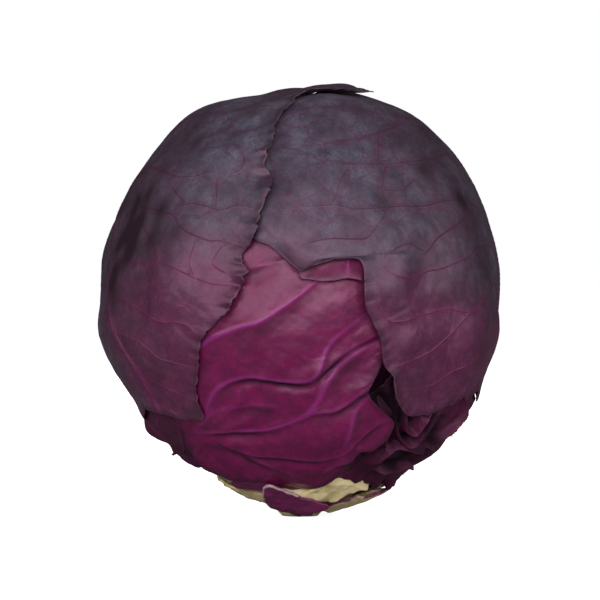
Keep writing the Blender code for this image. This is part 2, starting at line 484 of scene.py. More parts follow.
class LeafEffects:
    """The node groups that the leaves' finishes share."""

    def __init__(self) -> None:
        """Builds every group once."""
        self.vein_marks = self._vein_marks()
        self.vein_net = self._vein_net()
        self.blade = self._blade()
        self.margin = self._margin()
        self.wax = self._wax()

    @staticmethod
    def _vein_marks() -> bpy.types.NodeTree:
        """Marks the main veins from the distances kept on the leaf, as a crisp line and a soft halo.

        Returns:
            The group.
        """
        sheet, given, made = new_group(
            "leaf_vein_marks", {"Vein": "Vector", "Softness": "Float"}, {"Core": "Float", "Halo": "Float"}
        )
        parts = sheet.add("ShaderNodeSeparateXYZ")
        sheet.feed(parts.inputs[0], given.outputs["Vein"])
        side = sheet.sum("ABSOLUTE", parts.outputs[0])
        apart = sheet.sum("MAXIMUM", side, sheet.sum("SUBTRACT", parts.outputs[1], 0.75))
        over = sheet.sum("SUBTRACT", apart, parts.outputs[2])
        soft = given.outputs["Softness"]
        ratio = sheet.sum("DIVIDE", over, soft)
        sheet.feed(made.inputs["Core"], sheet.span(ratio, -1.0, 1.0, 1.0, 0.0))
        sheet.feed(made.inputs["Halo"], sheet.span(over, -0.4, 3.6, 1.0, 0.0))
        return sheet.tree

    @staticmethod
    def _vein_net() -> bpy.types.NodeTree:
        """Draws the net of fine veins between the main ones, in two sizes of cell.

        Returns:
            The group.
        """
        sheet, given, made = new_group(
            "leaf_vein_net",
            {"Place": "Vector", "Cells": "Float"},
            {"Line": "Float", "Fine Line": "Float", "Swell": "Float"},
        )
        wobble = sheet.add("ShaderNodeTexNoise")
        sheet.feed(wobble.inputs["Vector"], given.outputs["Place"])
        wobble.inputs["Scale"].default_value = 55
        wobble.inputs["Detail"].default_value = 2
        push = sheet.add("ShaderNodeVectorMath", operation="MULTIPLY_ADD")
        sheet.feed(push.inputs[0], wobble.outputs["Color"])
        push.inputs[1].default_value = (0.009, 0.009, 0.009)
        sheet.feed(push.inputs[2], given.outputs["Place"])
        for name, factor, thick in (("Line", 1.0, 0.032), ("Fine Line", 3.1, 0.05)):
            cells = sheet.add("ShaderNodeTexVoronoi", feature="DISTANCE_TO_EDGE")
            sheet.feed(cells.inputs["Vector"], push.outputs[0])
            sheet.feed(cells.inputs["Scale"], sheet.sum("MULTIPLY", given.outputs["Cells"], factor))
            edge = cells.outputs["Distance"]
            sheet.feed(made.inputs[name], sheet.span(edge, thick * 0.3, thick, 1.0, 0.0))
            if name == "Line":
                sheet.feed(made.inputs["Swell"], sheet.span(edge, 0.0, 0.22))
        return sheet.tree

    @staticmethod
    def _blade() -> bpy.types.NodeTree:
        """Colours the blade: a cool and a warm side, clouds of wax bloom and fine mottling.

        Returns:
            The group.
        """
        sheet, given, made = new_group(
            "leaf_blade",
            {
                "Place": "Vector",
                "Cool": "Color",
                "Warm": "Color",
                "Warmth": "Float",
                "Bloom Colour": "Color",
                "Bloom": "Float",
            },
            {"Colour": "Color", "Bloom Mask": "Float"},
        )
        place = given.outputs["Place"]
        cloud = sheet.noise(place, 30, 3, 0.5)
        drift = sheet.span(cloud, 0.3, 0.7, -0.25, 0.25)
        warmth = sheet.sum("ADD", given.outputs["Warmth"], drift, held=True)
        blade = sheet.blend(warmth, given.outputs["Cool"], given.outputs["Warm"])
        dust = sheet.noise(place, 62, 4, 0.6, 0.4)
        speck = sheet.noise(place, 900, 2, 0.6)
        mask = sheet.sum("MULTIPLY", given.outputs["Bloom"], sheet.span(dust, 0.32, 0.68, 0.45, 1.0))
        mask = sheet.sum("MULTIPLY", mask, sheet.span(speck, 0.3, 0.7, 0.7, 1.0), held=True)
        blade = sheet.blend(mask, blade, given.outputs["Bloom Colour"])
        mottle = sheet.noise(place, 210, 4, 0.65, 0.3)
        blade = sheet.blend(sheet.span(mottle, 0.35, 0.72, 0.42, 0.0), blade, (0.02, 0.006, 0.018))
        grain = sheet.noise(place, 1100, 3, 0.7)
        blade = sheet.blend(sheet.span(grain, 0.35, 0.7, 0.30, 0.0), blade, (0.018, 0.006, 0.016))
        sheet.feed(made.inputs["Colour"], blade)
        sheet.feed(made.inputs["Bloom Mask"], mask)
        return sheet.tree

    @staticmethod
    def _margin() -> bpy.types.NodeTree:
        """Darkens the blade towards its margin and paints a broken pale rim at the very edge, partly a dried
        edge and partly a painted highlight.

        Returns:
            The group.
        """
        sheet, given, made = new_group(
            "leaf_margin",
            {"Place": "Vector", "Colour": "Color", "Margin": "Float", "Rim Colour": "Color", "Rim": "Float"},
            {"Colour": "Color"},
        )
        margin = given.outputs["Margin"]
        worn = sheet.noise(given.outputs["Place"], 160, 3, 0.6)
        near = sheet.span(margin, 0.3, 4.0, 1.0, 0.0)
        dark = sheet.sum("MULTIPLY", near, sheet.span(worn, 0.3, 0.6, 0.25, 0.6))
        edge = sheet.blend(dark, given.outputs["Colour"], (0.022, 0.007, 0.018))
        # The pale rim: partly a dried edge, partly a painted highlight
        rim = sheet.sum("MULTIPLY", sheet.span(margin, 0.15, 0.8, 1.0, 0.0), sheet.span(worn, 0.42, 0.6))
        rim = sheet.sum("MULTIPLY", rim, given.outputs["Rim"])
        edge = sheet.blend(rim, edge, given.outputs["Rim Colour"])
        sheet.feed(made.inputs["Colour"], edge)
        return sheet.tree

    @staticmethod
    def _wax() -> bpy.types.NodeTree:
        """Gives the waxy skin its gloss and its fine grain.

        Returns:
            The group.
        """
        sheet, given, made = new_group(
            "leaf_wax",
            {"Place": "Vector", "Gloss": "Float", "Bloom Mask": "Float"},
            {"Roughness": "Float", "Grain": "Float"},
        )
        place = given.outputs["Place"]
        uneven = sheet.noise(place, 120, 4, 0.6)
        rough = sheet.sum("ADD", given.outputs["Gloss"], sheet.span(uneven, 0.3, 0.7, -0.06, 0.08))
        rough = sheet.sum("ADD", rough, sheet.sum("MULTIPLY", given.outputs["Bloom Mask"], 0.12), held=True)
        sheet.feed(made.inputs["Roughness"], rough)
        grain = sheet.sum("MULTIPLY", sheet.noise(place, 1500, 2, 0.6), 0.18)
        crumple = sheet.sum("MULTIPLY", sheet.noise(place, 330, 3, 0.55, 0.5), 0.3)
        sheet.feed(made.inputs["Grain"], sheet.sum("ADD", grain, crumple))
        return sheet.tree


def new_material(name: str) -> tuple[bpy.types.Material, NodeSheet, bpy.types.Node]:
    """Starts a material.

    Args:
        name: the material's name.

    Returns:
        The material, its sheet and its Principled BSDF.
    """
    material = bpy.data.materials.new(name)
    material.use_nodes = True
    sheet = NodeSheet(material.node_tree)
    return material, sheet, material.node_tree.nodes["Principled BSDF"]


@dataclass(frozen=True)
class LeafFinish:
    """The colours and the gloss of one kind of leaf."""

    name: str
    cool: Colour
    warm: Colour
    vein: Colour
    vein_cool: Colour = (0.050, 0.009, 0.030)
    bloom_colour: Colour = (0.165, 0.165, 0.225)
    bloom: float = 0.4
    # The broken pale rim at the margin: partly a dried edge, partly a painted highlight
    rim_colour: Colour = (0.36, 0.25, 0.14)
    rim: float = 0.7
    gloss: float = 0.36
    net: float = 0.5
    cells: float = 95.0
    halo: float = 0.25
    softness: float = 0.22
    core: float = 0.7
    relief: float = 0.0006
    sheen: float = 0.6
    sheen_tint: Colour = (1.0, 0.60, 0.80)
    cream: Colour = (0.62, 0.56, 0.30)
    stained_cream: Colour = (0.42, 0.36, 0.13)
    # The near-black of the painted shade in creases, gaps, holes and shaded patches
    crease: Colour = (0.006, 0.0015, 0.005)

    def material(self, effects: LeafEffects) -> bpy.types.Material:
        """Builds the material.

        Args:
            effects: the shared groups.

        Returns:
            The material.
        """
        material, sheet, shader = new_material(self.name)
        place = sheet.add("ShaderNodeTexCoord").outputs["Object"]
        vein = sheet.add("ShaderNodeAttribute", attribute_name="vein").outputs["Vector"]
        tone = sheet.add("ShaderNodeSeparateXYZ")
        sheet.feed(tone.inputs[0], sheet.add("ShaderNodeAttribute", attribute_name="tone").outputs["Vector"])
        edge = sheet.add("ShaderNodeSeparateXYZ")
        sheet.feed(edge.inputs[0], sheet.add("ShaderNodeAttribute", attribute_name="edge").outputs["Vector"])
        marks = sheet.group(effects.vein_marks, Vein=vein, Softness=self.softness)
        net = sheet.group(effects.vein_net, Place=place, Cells=self.cells)
        core = sheet.sum("MULTIPLY", marks.outputs["Core"], edge.outputs[1])
        halo = sheet.sum("MULTIPLY", marks.outputs["Halo"], edge.outputs[1])
        warmth = sheet.sum("ADD", tone.outputs[0], sheet.sum("MULTIPLY", halo, self.halo))
        clear = sheet.sum("SUBTRACT", 1.0, sheet.sum("MULTIPLY", halo, 0.35))
        bloom = sheet.sum("MULTIPLY", edge.outputs[2], clear)
        blade = sheet.group(
            effects.blade,
            Place=place,
            Cool=self.cool,
            Warm=self.warm,
            Warmth=warmth,
            Bloom_Colour=self.bloom_colour,
            Bloom=sheet.sum("MULTIPLY", bloom, self.bloom),
        )
        lines = sheet.sum(
            "ADD", net.outputs["Line"], sheet.sum("MULTIPLY", net.outputs["Fine Line"], 0.45), held=True
        )
        fine = sheet.sum("MULTIPLY", lines, self.net)
        colour = sheet.blend(fine, blade.outputs["Colour"], self.net_colour())
        colour = sheet.blend(sheet.sum("MULTIPLY", halo, self.halo), colour, self.warm)
        line = sheet.blend(sheet.span(tone.outputs[0], 0.1, 0.8), self.vein_cool, self.vein)
        colour = sheet.blend(sheet.sum("MULTIPLY", core, self.core), colour, line)
        margin = sheet.group(
            effects.margin,
            Place=place,
            Colour=colour,
            Margin=edge.outputs[0],
            Rim_Colour=self.rim_colour,
            Rim=self.rim,
        )
        stains = sheet.span(sheet.noise(place, 190, 4, 0.6), 0.4, 0.75)
        stained = sheet.blend(stains, self.cream, self.stained_cream)
        colour = sheet.blend(tone.outputs[2], margin.outputs["Colour"], stained)
        # Painted shade: the tone's second value mixes the colour towards near-black
        colour = sheet.blend(tone.outputs[1], colour, self.crease)
        wax = sheet.group(effects.wax, Place=place, Gloss=self.gloss, Bloom_Mask=blade.outputs["Bloom Mask"])
        relief = sheet.sum("MULTIPLY", net.outputs["Swell"], self.net * 0.9)
        relief = sheet.sum("ADD", relief, sheet.sum("MULTIPLY", wax.outputs["Grain"], 0.5))
        relief = sheet.sum("ADD", relief, sheet.sum("MULTIPLY", core, 0.5))
        bump = sheet.add("ShaderNodeBump")
        bump.inputs["Distance"].default_value = self.relief
        bump.inputs["Strength"].default_value = 0.8
        sheet.feed(bump.inputs["Height"], relief)
        sheet.feed(shader.inputs["Base Color"], colour)
        rough = sheet.sum("MULTIPLY_ADD", tone.outputs[1], 0.5, wax.outputs["Roughness"])
        sheet.feed(shader.inputs["Roughness"], rough)
        sheet.feed(shader.inputs["Normal"], bump.outputs[0])
        shader.inputs["Specular IOR Level"].default_value = self.sheen
        shader.inputs["Specular Tint"].default_value = (*self.sheen_tint, 1.0)
        return material

    def net_colour(self) -> Colour:
        """Returns the colour of the fine veins, between the warm blade and the main veins, and darker."""
        return tuple((w * 0.6 + v * 0.4) * 0.5 for w, v in zip(self.warm, self.vein))


@dataclass(frozen=True)
class CreamFinish:
    """A fleshy cream leaf base with a thin purple skin along its torn margin."""

    name: str
    flesh: Colour = (0.72, 0.60, 0.34)
    tint: Colour = (0.50, 0.40, 0.17)
    stain: Colour = (0.30, 0.17, 0.06)
    skin: Colour = (0.130, 0.010, 0.068)
    rim: Colour = (0.42, 0.27, 0.30)
    gloss: float = 0.42

    def material(self, effects: LeafEffects) -> bpy.types.Material:
        """Builds the material.

        Args:
            effects: the shared groups.

        Returns:
            The material.
        """
        material, sheet, shader = new_material(self.name)
        place = sheet.add("ShaderNodeTexCoord").outputs["Object"]
        edge = sheet.add("ShaderNodeSeparateXYZ")
        sheet.feed(edge.inputs[0], sheet.add("ShaderNodeAttribute", attribute_name="edge").outputs["Vector"])
        tone = sheet.add("ShaderNodeSeparateXYZ")
        sheet.feed(tone.inputs[0], sheet.add("ShaderNodeAttribute", attribute_name="tone").outputs["Vector"])
        cloud = sheet.noise(place, 150, 4, 0.6)
        flesh = sheet.blend(sheet.span(cloud, 0.35, 0.7), self.flesh, self.tint)
        fibre = sheet.noise(place, 700, 3, 0.6, 0.6)
        flesh = sheet.blend(sheet.span(fibre, 0.4, 0.75, 0.0, 0.35), flesh, self.tint)
        spots = sheet.noise(place, 85, 5, 0.7, 0.8)
        flesh = sheet.blend(sheet.span(spots, 0.62, 0.72, 0.0, 0.8), flesh, self.stain)
        wander = sheet.sum("SUBTRACT", edge.outputs[0], sheet.span(cloud, 0.3, 0.7, -0.7, 1.2))
        band = sheet.span(wander, 0.1, 0.9, 1.0, 0.0)
        colour = sheet.blend(sheet.sum("MAXIMUM", band, tone.outputs[0]), flesh, self.skin)
        pale = sheet.sum("MULTIPLY", sheet.span(edge.outputs[0], 0.2, 0.8, 1.0, 0.0), tone.outputs[0])
        colour = sheet.blend(sheet.sum("MULTIPLY", pale, 0.8), colour, self.rim)
        # Painted shade from the tone's second value
        colour = sheet.blend(sheet.sum("MULTIPLY", tone.outputs[1], 0.8), colour, (0.02, 0.006, 0.01))
        wax = sheet.group(effects.wax, Place=place, Gloss=self.gloss, Bloom_Mask=0.0)
        bump = sheet.add("ShaderNodeBump")
        bump.inputs["Distance"].default_value = 0.0004
        bump.inputs["Strength"].default_value = 0.7
        relief = sheet.sum("ADD", wax.outputs["Grain"], sheet.sum("MULTIPLY", fibre, 0.5))
        sheet.feed(bump.inputs["Height"], relief)
        sheet.feed(shader.inputs["Base Color"], colour)
        sheet.feed(shader.inputs["Roughness"], wax.outputs["Roughness"])
        sheet.feed(shader.inputs["Normal"], bump.outputs[0])
        return material


@dataclass(frozen=True)
class StemFinish:
    """The cut stem: a pale pith, a ring of fibres, a green-cream rind and a drying cut face."""

    name: str = "cut_stem"
    pith: Colour = (0.70, 0.64, 0.40)
    ring: Colour = (0.42, 0.38, 0.17)
    rind: Colour = (0.45, 0.42, 0.20)
    dried: Colour = (0.30, 0.20, 0.09)

    def material(self, radius: float) -> bpy.types.Material:
        """Builds the material.

        Args:
            radius: the cut face's radius in metres.

        Returns:
            The material.
        """
        material, sheet, shader = new_material(self.name)
        place = sheet.add("ShaderNodeTexCoord").outputs["Object"]
        flat = sheet.add("ShaderNodeVectorMath", operation="MULTIPLY")
        sheet.feed(flat.inputs[0], place)
        flat.inputs[1].default_value = (1, 1, 0)
        out = sheet.add("ShaderNodeVectorMath", operation="LENGTH")
        sheet.feed(out.inputs[0], flat.outputs[0])
        share = sheet.sum("DIVIDE", out.outputs["Value"], radius)
        share = sheet.sum("ADD", share, sheet.span(sheet.noise(place, 260, 3), 0.3, 0.7, -0.05, 0.05))
        colour = sheet.blend(sheet.span(share, 0.62, 0.72), self.pith, self.ring)
        colour = sheet.blend(sheet.span(share, 0.80, 0.90), colour, self.pith)
        colour = sheet.blend(sheet.span(share, 0.96, 1.04), colour, self.rind)
        fibre = sheet.noise(place, 900, 4, 0.65)
        colour = sheet.blend(sheet.span(fibre, 0.35, 0.7, 0.0, 0.45), colour, self.ring)
        dry = sheet.noise(place, 130, 5, 0.7, 0.5)
        colour = sheet.blend(sheet.span(dry, 0.52, 0.7, 0.0, 0.75), colour, self.dried)
        bump = sheet.add("ShaderNodeBump")
        bump.inputs["Distance"].default_value = 0.0005
        sheet.feed(bump.inputs["Height"], fibre)
        sheet.feed(shader.inputs["Base Color"], colour)
        sheet.feed(shader.inputs["Roughness"], sheet.span(dry, 0.3, 0.7, 0.55, 0.8))
        sheet.feed(shader.inputs["Normal"], bump.outputs[0])
        return material


WRAPPER = LeafFinish(
    "wrapper_leaf_skin",
    cool=(0.042, 0.031, 0.045),
    warm=(0.118, 0.0140, 0.058),
    vein=(0.150, 0.010, 0.085),
    vein_cool=(0.055, 0.009, 0.031),
    bloom_colour=(0.115, 0.115, 0.160),
    bloom=0.70,
    rim=0.25,
    rim_colour=(0.22, 0.12, 0.10),
    gloss=0.37,
    net=0.42,
    softness=0.18,
    core=0.65,
    halo=0.10,
    relief=0.0003,
)
MAGENTA = LeafFinish(
    "inner_leaf_skin",
    cool=(0.170, 0.0105, 0.064),
    warm=(0.170, 0.0045, 0.066),
    vein=(0.270, 0.028, 0.215),
    vein_cool=(0.260, 0.030, 0.165),
    bloom_colour=(0.15, 0.05, 0.10),
    bloom=0.10,
    rim=0.10,
    rim_colour=(0.22, 0.05, 0.13),
    gloss=0.35,
    net=0.16,
    cells=70,
    halo=0.25,
    softness=0.8,
    core=0.55,
    relief=0.0005,
)
PLUM = LeafFinish(
    "lower_leaf_skin",
    cool=(0.062, 0.009, 0.034),
    warm=(0.088, 0.0065, 0.040),
    vein=(0.100, 0.010, 0.065),
    vein_cool=(0.090, 0.010, 0.060),
    bloom_colour=(0.070, 0.040, 0.065),
    bloom=0.12,
    rim=0.25,
    rim_colour=(0.20, 0.09, 0.10),
    gloss=0.42,
    sheen=0.38,
    net=0.2,
)
# The heart's own purple is darkened as painted shade, for where it shows in the gaps between the loose leaves
HEART = LeafFinish(
    "heart_skin",
    cool=(0.022, 0.004, 0.014),
    warm=(0.040, 0.004, 0.022),
    vein=(0.080, 0.008, 0.050),
    bloom=0.0,
    rim=0.0,
    gloss=0.4,
    net=0.3,
)
CREAM = CreamFinish("leaf_base_flesh")


# ---------------------------------------------------------------------------------------------
# Leaves
# ---------------------------------------------------------------------------------------------


@dataclass(frozen=True)
class Edge:
    """How a stretch of a leaf's margin behaves, around a bearing."""

    bearing: float
    width: float
    lift_mm: float = 0.0
    ruffle_mm: float = 0.0
    tear_mm: float = 0.0


def keep_values(mesh: bpy.types.Mesh, name: str, values: np.ndarray) -> None:
    """Keeps three values for each point on a mesh.

    Args:
        mesh: the mesh.
        name: the attribute's name.
        values: N rows of three.
    """
    kept = mesh.attributes.new(name, "FLOAT_VECTOR", "POINT")
    kept.data.foreach_set("vector", np.ascontiguousarray(values, np.float32).ravel())


def select_only(piece: bpy.types.Object) -> None:
    """Selects one object and makes it active.

    Args:
        piece: the object.
    """
    bpy.ops.object.select_all(action="DESELECT")
    piece.select_set(True)
    bpy.context.view_layer.objects.active = piece


def points_of(mesh: bpy.types.Mesh) -> np.ndarray:
    """Reads a mesh's points.

    Args:
        mesh: the mesh.

    Returns:
        N rows of three.
    """
    points = np.empty(len(mesh.vertices) * 3)
    mesh.vertices.foreach_get("co", points)
    return points.reshape(-1, 3)


@dataclass
class Leaf:
    """One loose leaf, laid over the leaves below it."""

    name: str
    node: str | None
    middle: tuple[float, float]
    margin: Route
    finish: LeafFinish | CreamFinish
    slot: Slot
    below: tuple["Leaf", ...] = ()
    veins: tuple[Vein, ...] = ()
    edges: tuple[Edge, ...] = ()
    divisions: int = 200
    thickness: float = 0.0009
    clearance: float = 0.0007
    feather: float = 11.0
    risen: float = 1.5
    jag_mm: float = 0.35
    wave_mm: float = 0.25
    pillow_mm: float = 0.2
    pucker_mm: float = 0.03
    lump_mm: float = 0.25
    tuck_mm: float = 0.0
    droop_mm: float = 0.0
    warm_from: float = 0.120
    warm_to: float = 0.070
    bloom_share: float = 1.0
    raised_mm: float = 0.0
    seed: int = 1
    cream_from: float = 0.0
    # Degrees from the stem beyond which a base's purple skin covers it, and its rim's bearing and spread
    skin_from: float = 90.0
    rim_turn: tuple[float, float] = (0.0, 0.0)
    # Longitude, latitude and width in degrees, and an amount
    cool_patches: Patches = ()
    bloom_patches: Patches = ()
    # Patches of painted shade, where the colour is mixed towards near-black
    painted_shade_patches: Patches = ()
    hollows: Patches = ()
    # Longitude, latitude and width in degrees, then degrees moved in longitude and latitude
    pulls: tuple[tuple[float, float, float, float, float], ...] = ()
    # Longitude and latitude that fine folds fan out from, and their height in millimetres
    fan: tuple[float, float, float] | None = None

    def __post_init__(self) -> None:
        """Sets up the leaf's own compass, and an empty list of the leaves that will lie over it."""
        self.above: list[Leaf] = []
        self.out = toward(*self.middle)
        self.east = toward(self.middle[0] + 90, 0)
        self.north = np.cross(self.out, self.east)

    def reach_at(self, bearing: np.ndarray) -> np.ndarray:
        """Finds the margin's reach by a smooth closed curve through its points.

        Args:
            bearing: N bearings in degrees.

        Returns:
            N reaches in degrees.
        """
        knots = np.array(self.margin, float)
        turns = np.vstack((knots[-2:] - (360, 0), knots, knots[:3] + (360, 0)))
        bearing = bearing % 360
        first = np.searchsorted(turns[:, 0], bearing, side="right") - 1
        (b0, r0), (b1, r1), (b2, r2), (b3, r3) = (turns[first + k].T for k in (-1, 0, 1, 2))
        span = b2 - b1
        share = (bearing - b1) / span
        slope_1 = (r2 - r0) / (b2 - b0) * span
        slope_2 = (r3 - r1) / (b3 - b1) * span
        return (
            r1 * (1 + 2 * share) * (1 - share) ** 2
            + slope_1 * share * (1 - share) ** 2
            + r2 * share**2 * (3 - 2 * share)
            + slope_2 * share**2 * (share - 1)
        )

    def ways(self, bearing: np.ndarray, reach: np.ndarray) -> np.ndarray:
        """Finds directions from the leaf's middle.

        Args:
            bearing: N bearings in degrees.
            reach: N reaches in degrees.

        Returns:
            N directions.
        """
        turn, far = np.radians(bearing)[:, None], np.radians(reach)[:, None]
        aside = self.north * np.cos(turn) + self.east * np.sin(turn)
        return self.out * np.cos(far) + aside * np.sin(far)

    def pulled(self, ways: np.ndarray) -> np.ndarray:
        """Moves the points near some places sideways, for corners that a margin by bearings can't turn.

        Args:
            ways: N directions.

        Returns:
            N directions.
        """
        for longitude, latitude, width, aside, up in self.pulls:
            place = toward(longitude, latitude)
            apart = np.degrees(np.arccos(np.clip(ways @ place, -1, 1)))
            move = toward(longitude + aside, latitude + up) - place
            ways = ways + move * np.exp(-((apart / width) ** 2))[:, None]
            ways /= np.linalg.norm(ways, axis=1)[:, None]
        return ways

    def cover(self, ways: np.ndarray) -> np.ndarray:
        """Says how far up a leaf that lies over this one is.

        Args:
            ways: N directions.

        Returns:
            1 over this leaf, 0 well away from it.
        """
        reach = np.degrees(np.arccos(np.clip(ways @ self.out, -1, 1)))
        bearing = np.degrees(np.arctan2(ways @ self.east, ways @ self.north))
        past = reach - self.reach_at(bearing)
        return ease((self.feather - past) / (self.feather - self.risen))

    def inside(self, ways: np.ndarray) -> np.ndarray:
        """Says which points lie behind this leaf.

        Args:
            ways: N directions.

        Returns:
            1 well inside this leaf's margin, 0 outside it.
        """
        reach = np.degrees(np.arccos(np.clip(ways @ self.out, -1, 1)))
        bearing = np.degrees(np.arctan2(ways @ self.east, ways @ self.north))
        return ease((self.reach_at(bearing) - reach + 0.5) / 2.5)

    def seat(self, ways: np.ndarray) -> np.ndarray:
        """Finds how high this leaf's inner face lies.

        Args:
            ways: N directions.

        Returns:
            N heights over the heart, in metres.
        """
        height = np.full(len(ways), self.clearance)
        for leaf in self.below:
            height += (leaf.thickness + leaf.clearance + leaf.raised_mm * MM) * leaf.cover(ways)
        return height

    def edge_values(self, bearing: np.ndarray) -> tuple[np.ndarray, np.ndarray, np.ndarray]:
        """Adds up the margin's lift, ruffle and tear.

        Args:
            bearing: N bearings in degrees.

        Returns:
            The lift, the ruffle and the tear, in millimetres.
        """
        lift = np.full(len(bearing), 0.35)
        ruffle = np.full(len(bearing), self.wave_mm)
        tear = np.full(len(bearing), self.jag_mm)
        for edge in self.edges:
            apart = np.abs((bearing - edge.bearing + 180) % 360 - 180)
            near = ease(1.4 * (1 - apart / edge.width))
            lift += near * edge.lift_mm
            ruffle += near * edge.ruffle_mm
            tear += near * edge.tear_mm
        return lift, ruffle, tear

    def build(self, head: HeadShape) -> bpy.types.Object:
        """Makes the leaf from a grid.

        Args:
            head: the ball that it lies on.

        Returns:
            The finished piece, without its material.
        """
        bpy.ops.object.select_all(action="DESELECT")
        bpy.ops.mesh.primitive_grid_add(x_subdivisions=self.divisions, y_subdivisions=self.divisions, size=2)
        piece = bpy.context.object
        piece.name = piece.data.name = self.name
        mesh = piece.data
        across, along, _ = points_of(mesh).T
        wide, tall = across * np.sqrt(1 - along**2 / 2), along * np.sqrt(1 - across**2 / 2)
        bearing = np.degrees(np.arctan2(wide, tall))
        share = np.hypot(wide, tall)
        reach = self.reach_at(bearing)
        lift, ruffle, tear = self.edge_values(bearing)
        turn = np.radians(bearing)
        ring = np.stack((np.cos(turn), np.sin(turn)), axis=1) * (BALL_MM * np.radians(reach.mean()))
        jag = 0.9 * np.abs(ripple(ring, 8.0, self.seed + 40))
        jag += 0.45 * np.abs(ripple(ring, 3.6, self.seed + 41))
        jag += 0.5 * ripple(ring, 17.0, self.seed + 42) - 0.9
        fringe = ease((share - 0.84) / 0.16)
        reach_here = share * reach + fringe * np.degrees(tear * jag / BALL_MM)
        ways = self.pulled(self.ways(bearing, reach_here))
        margin_mm = (1 - share) * np.radians(reach) * BALL_MM
        veins = VeinField.measure(ways, self.veins)
        height = self.relief_mm(ways, ring, share, margin_mm, veins, lift, ruffle) * MM
        points = head.skin(ways, self.seat(ways) + self.thickness + self.raised_mm * MM + height)
        mesh.vertices.foreach_set("co", points.ravel())
        self.keep_marks(mesh, ways, points, margin_mm, veins)
        self.unwrap(mesh, ways)
        mesh.shade_smooth()
        self.thicken(piece, margin_mm)
        return piece

    def relief_mm(
        self,
        ways: np.ndarray,
        ring: np.ndarray,
        share: np.ndarray,
        margin_mm: np.ndarray,
        veins: VeinField,
        lift: np.ndarray,
        ruffle: np.ndarray,
    ) -> np.ndarray:
        """Adds up everything that raises or sinks the blade.

        Args:
            ways: the points' directions.
            ring: where each point's bearing meets the margin, in millimetres round the leaf.
            share: how far out each point is, from 0 to 1; not used.
            margin_mm: the distance to the margin.
            veins: the vein field.
            lift: the margin's lift.
            ruffle: the margin's ruffle.

        Returns:
            Heights in millimetres.
        """
        places = ways * BALL_MM
        pillow = self.pillow_mm * (1 - np.exp(-((veins.gap_mm / 5.5) ** 2)))
        bumps = self.lump_mm * ripple(places, 26.0, self.seed)
        bumps += self.pucker_mm * ripple(places, 8.0, self.seed + 1)
        bumps += 0.35 * self.pucker_mm * ripple(places, 3.6, self.seed + 2)
        crease = -0.8 * self.pucker_mm * np.exp(-((ripple(places, 17.0, self.seed + 3) / 0.16) ** 2))
        near = ease(1 - margin_mm / 10.0)
        frill = ripple(ring, 11.0, self.seed + 20) + 0.5 * ripple(ring, 5.0, self.seed + 21)
        margin = near**2 * lift + ease(1 - margin_mm / 7.0) * ruffle * frill * 0.5
        polar = np.degrees(np.arccos(np.clip(-ways[:, 2], -1, 1)))
        droop = self.droop_mm * ease((33 - polar) / 18)
        shape = pillow + veins.height_mm + bumps + crease + margin + self.fanned(ways)
        covered = np.zeros(len(ways))
        for leaf in self.above:
            covered = np.maximum(covered, leaf.inside(ways))
        shape = np.where(shape > 0, shape * (1 - covered), shape)
        return shape + droop * (1 - covered) - self.tuck_mm * covered - self.patches(ways, self.hollows)

    def fanned(self, ways: np.ndarray) -> np.ndarray:
        """Raises fine folds that fan out from a base.

        Args:
            ways: the points' directions.

        Returns:
            Heights in millimetres.
        """
        if not self.fan:
            return np.zeros(len(ways))
        base = toward(*self.fan[:2])
        aside = np.cross(base, (0, 0, 1))
        aside /= np.linalg.norm(aside)
        up = np.cross(aside, base)
        turn = np.degrees(np.arctan2(ways @ up, ways @ aside))
        far = np.degrees(np.arccos(np.clip(ways @ base, -1, 1)))
        grain = np.stack((turn / 13.0, far / 60.0), axis=1)
        fine = np.stack((turn / 5.0, far / 45.0), axis=1)
        fade = ease(far / 12) * ease((70 - far) / 30)
        folds = ripple(grain, 1.6, self.seed + 30) + 0.35 * ripple(fine, 1.6, self.seed + 31)
        return self.fan[2] * fade * folds

    @staticmethod
    def patches(ways: np.ndarray, places: Patches) -> np.ndarray:
        """Adds up soft round patches.

        Args:
            ways: N directions.
            places: longitude, latitude and width in degrees, and an amount, of each.

        Returns:
            N sums of the amounts.
        """
        total = np.zeros(len(ways))
        for longitude, latitude, width, amount in places:
            apart = np.degrees(np.arccos(np.clip(ways @ toward(longitude, latitude), -1, 1)))
            total += amount * np.exp(-((apart / width) ** 2))
        return total

    def keep_marks(
        self,
        mesh: bpy.types.Mesh,
        ways: np.ndarray,
        points: np.ndarray,
        margin_mm: np.ndarray,
        veins: VeinField,
    ) -> None:
        """Keeps on the mesh what its finish reads.

        Args:
            mesh: the leaf's mesh.
            ways: the points' directions.
            points: the points.
            margin_mm: the distance to the margin.
            veins: the vein field.
        """
        polar = np.degrees(np.arccos(np.clip(-ways[:, 2], -1, 1)))
        warmth = ease((self.warm_from - points[:, 2]) / (self.warm_from - self.warm_to))
        warmth = np.clip(warmth - self.patches(ways, self.cool_patches), 0, 1)
        if isinstance(self.finish, CreamFinish):
            warmth = ease((polar - self.skin_from) / 3.0 + 0.5)
        cream = ease((self.cream_from - polar) / 8.0) if self.cream_from else np.zeros(len(ways))
        keep_values(mesh, "vein", np.stack((veins.side_mm, veins.gap_mm, veins.width_mm), axis=1))
        uneven = 1 + 0.35 * ripple(ways * BALL_MM, 14.0, self.seed + 50)
        # Painted shade: creases, hollows and the shade patches darken the colour, kept as the tone's second
        # value
        dark = veins.crease + 0.25 * self.patches(ways, self.hollows)
        dark = np.clip(dark + uneven * self.patches(ways, self.painted_shade_patches), 0, 1)
        keep_values(mesh, "tone", np.stack((warmth, dark, cream), axis=1))
        bloom = self.bloom_share * (0.2 + 0.5 * (1 - warmth))
        bloom += self.patches(ways, self.bloom_patches) * uneven
        if isinstance(self.finish, CreamFinish):
            bearing = np.degrees(np.arctan2(ways @ self.east, ways @ self.north))
            apart = np.abs((bearing - self.rim_turn[0] + 180) % 360 - 180)
            margin_mm = margin_mm + 6 * ease((apart - self.rim_turn[1]) / 25)
        keep_values(mesh, "edge", np.stack((margin_mm, veins.strength, bloom), axis=1))

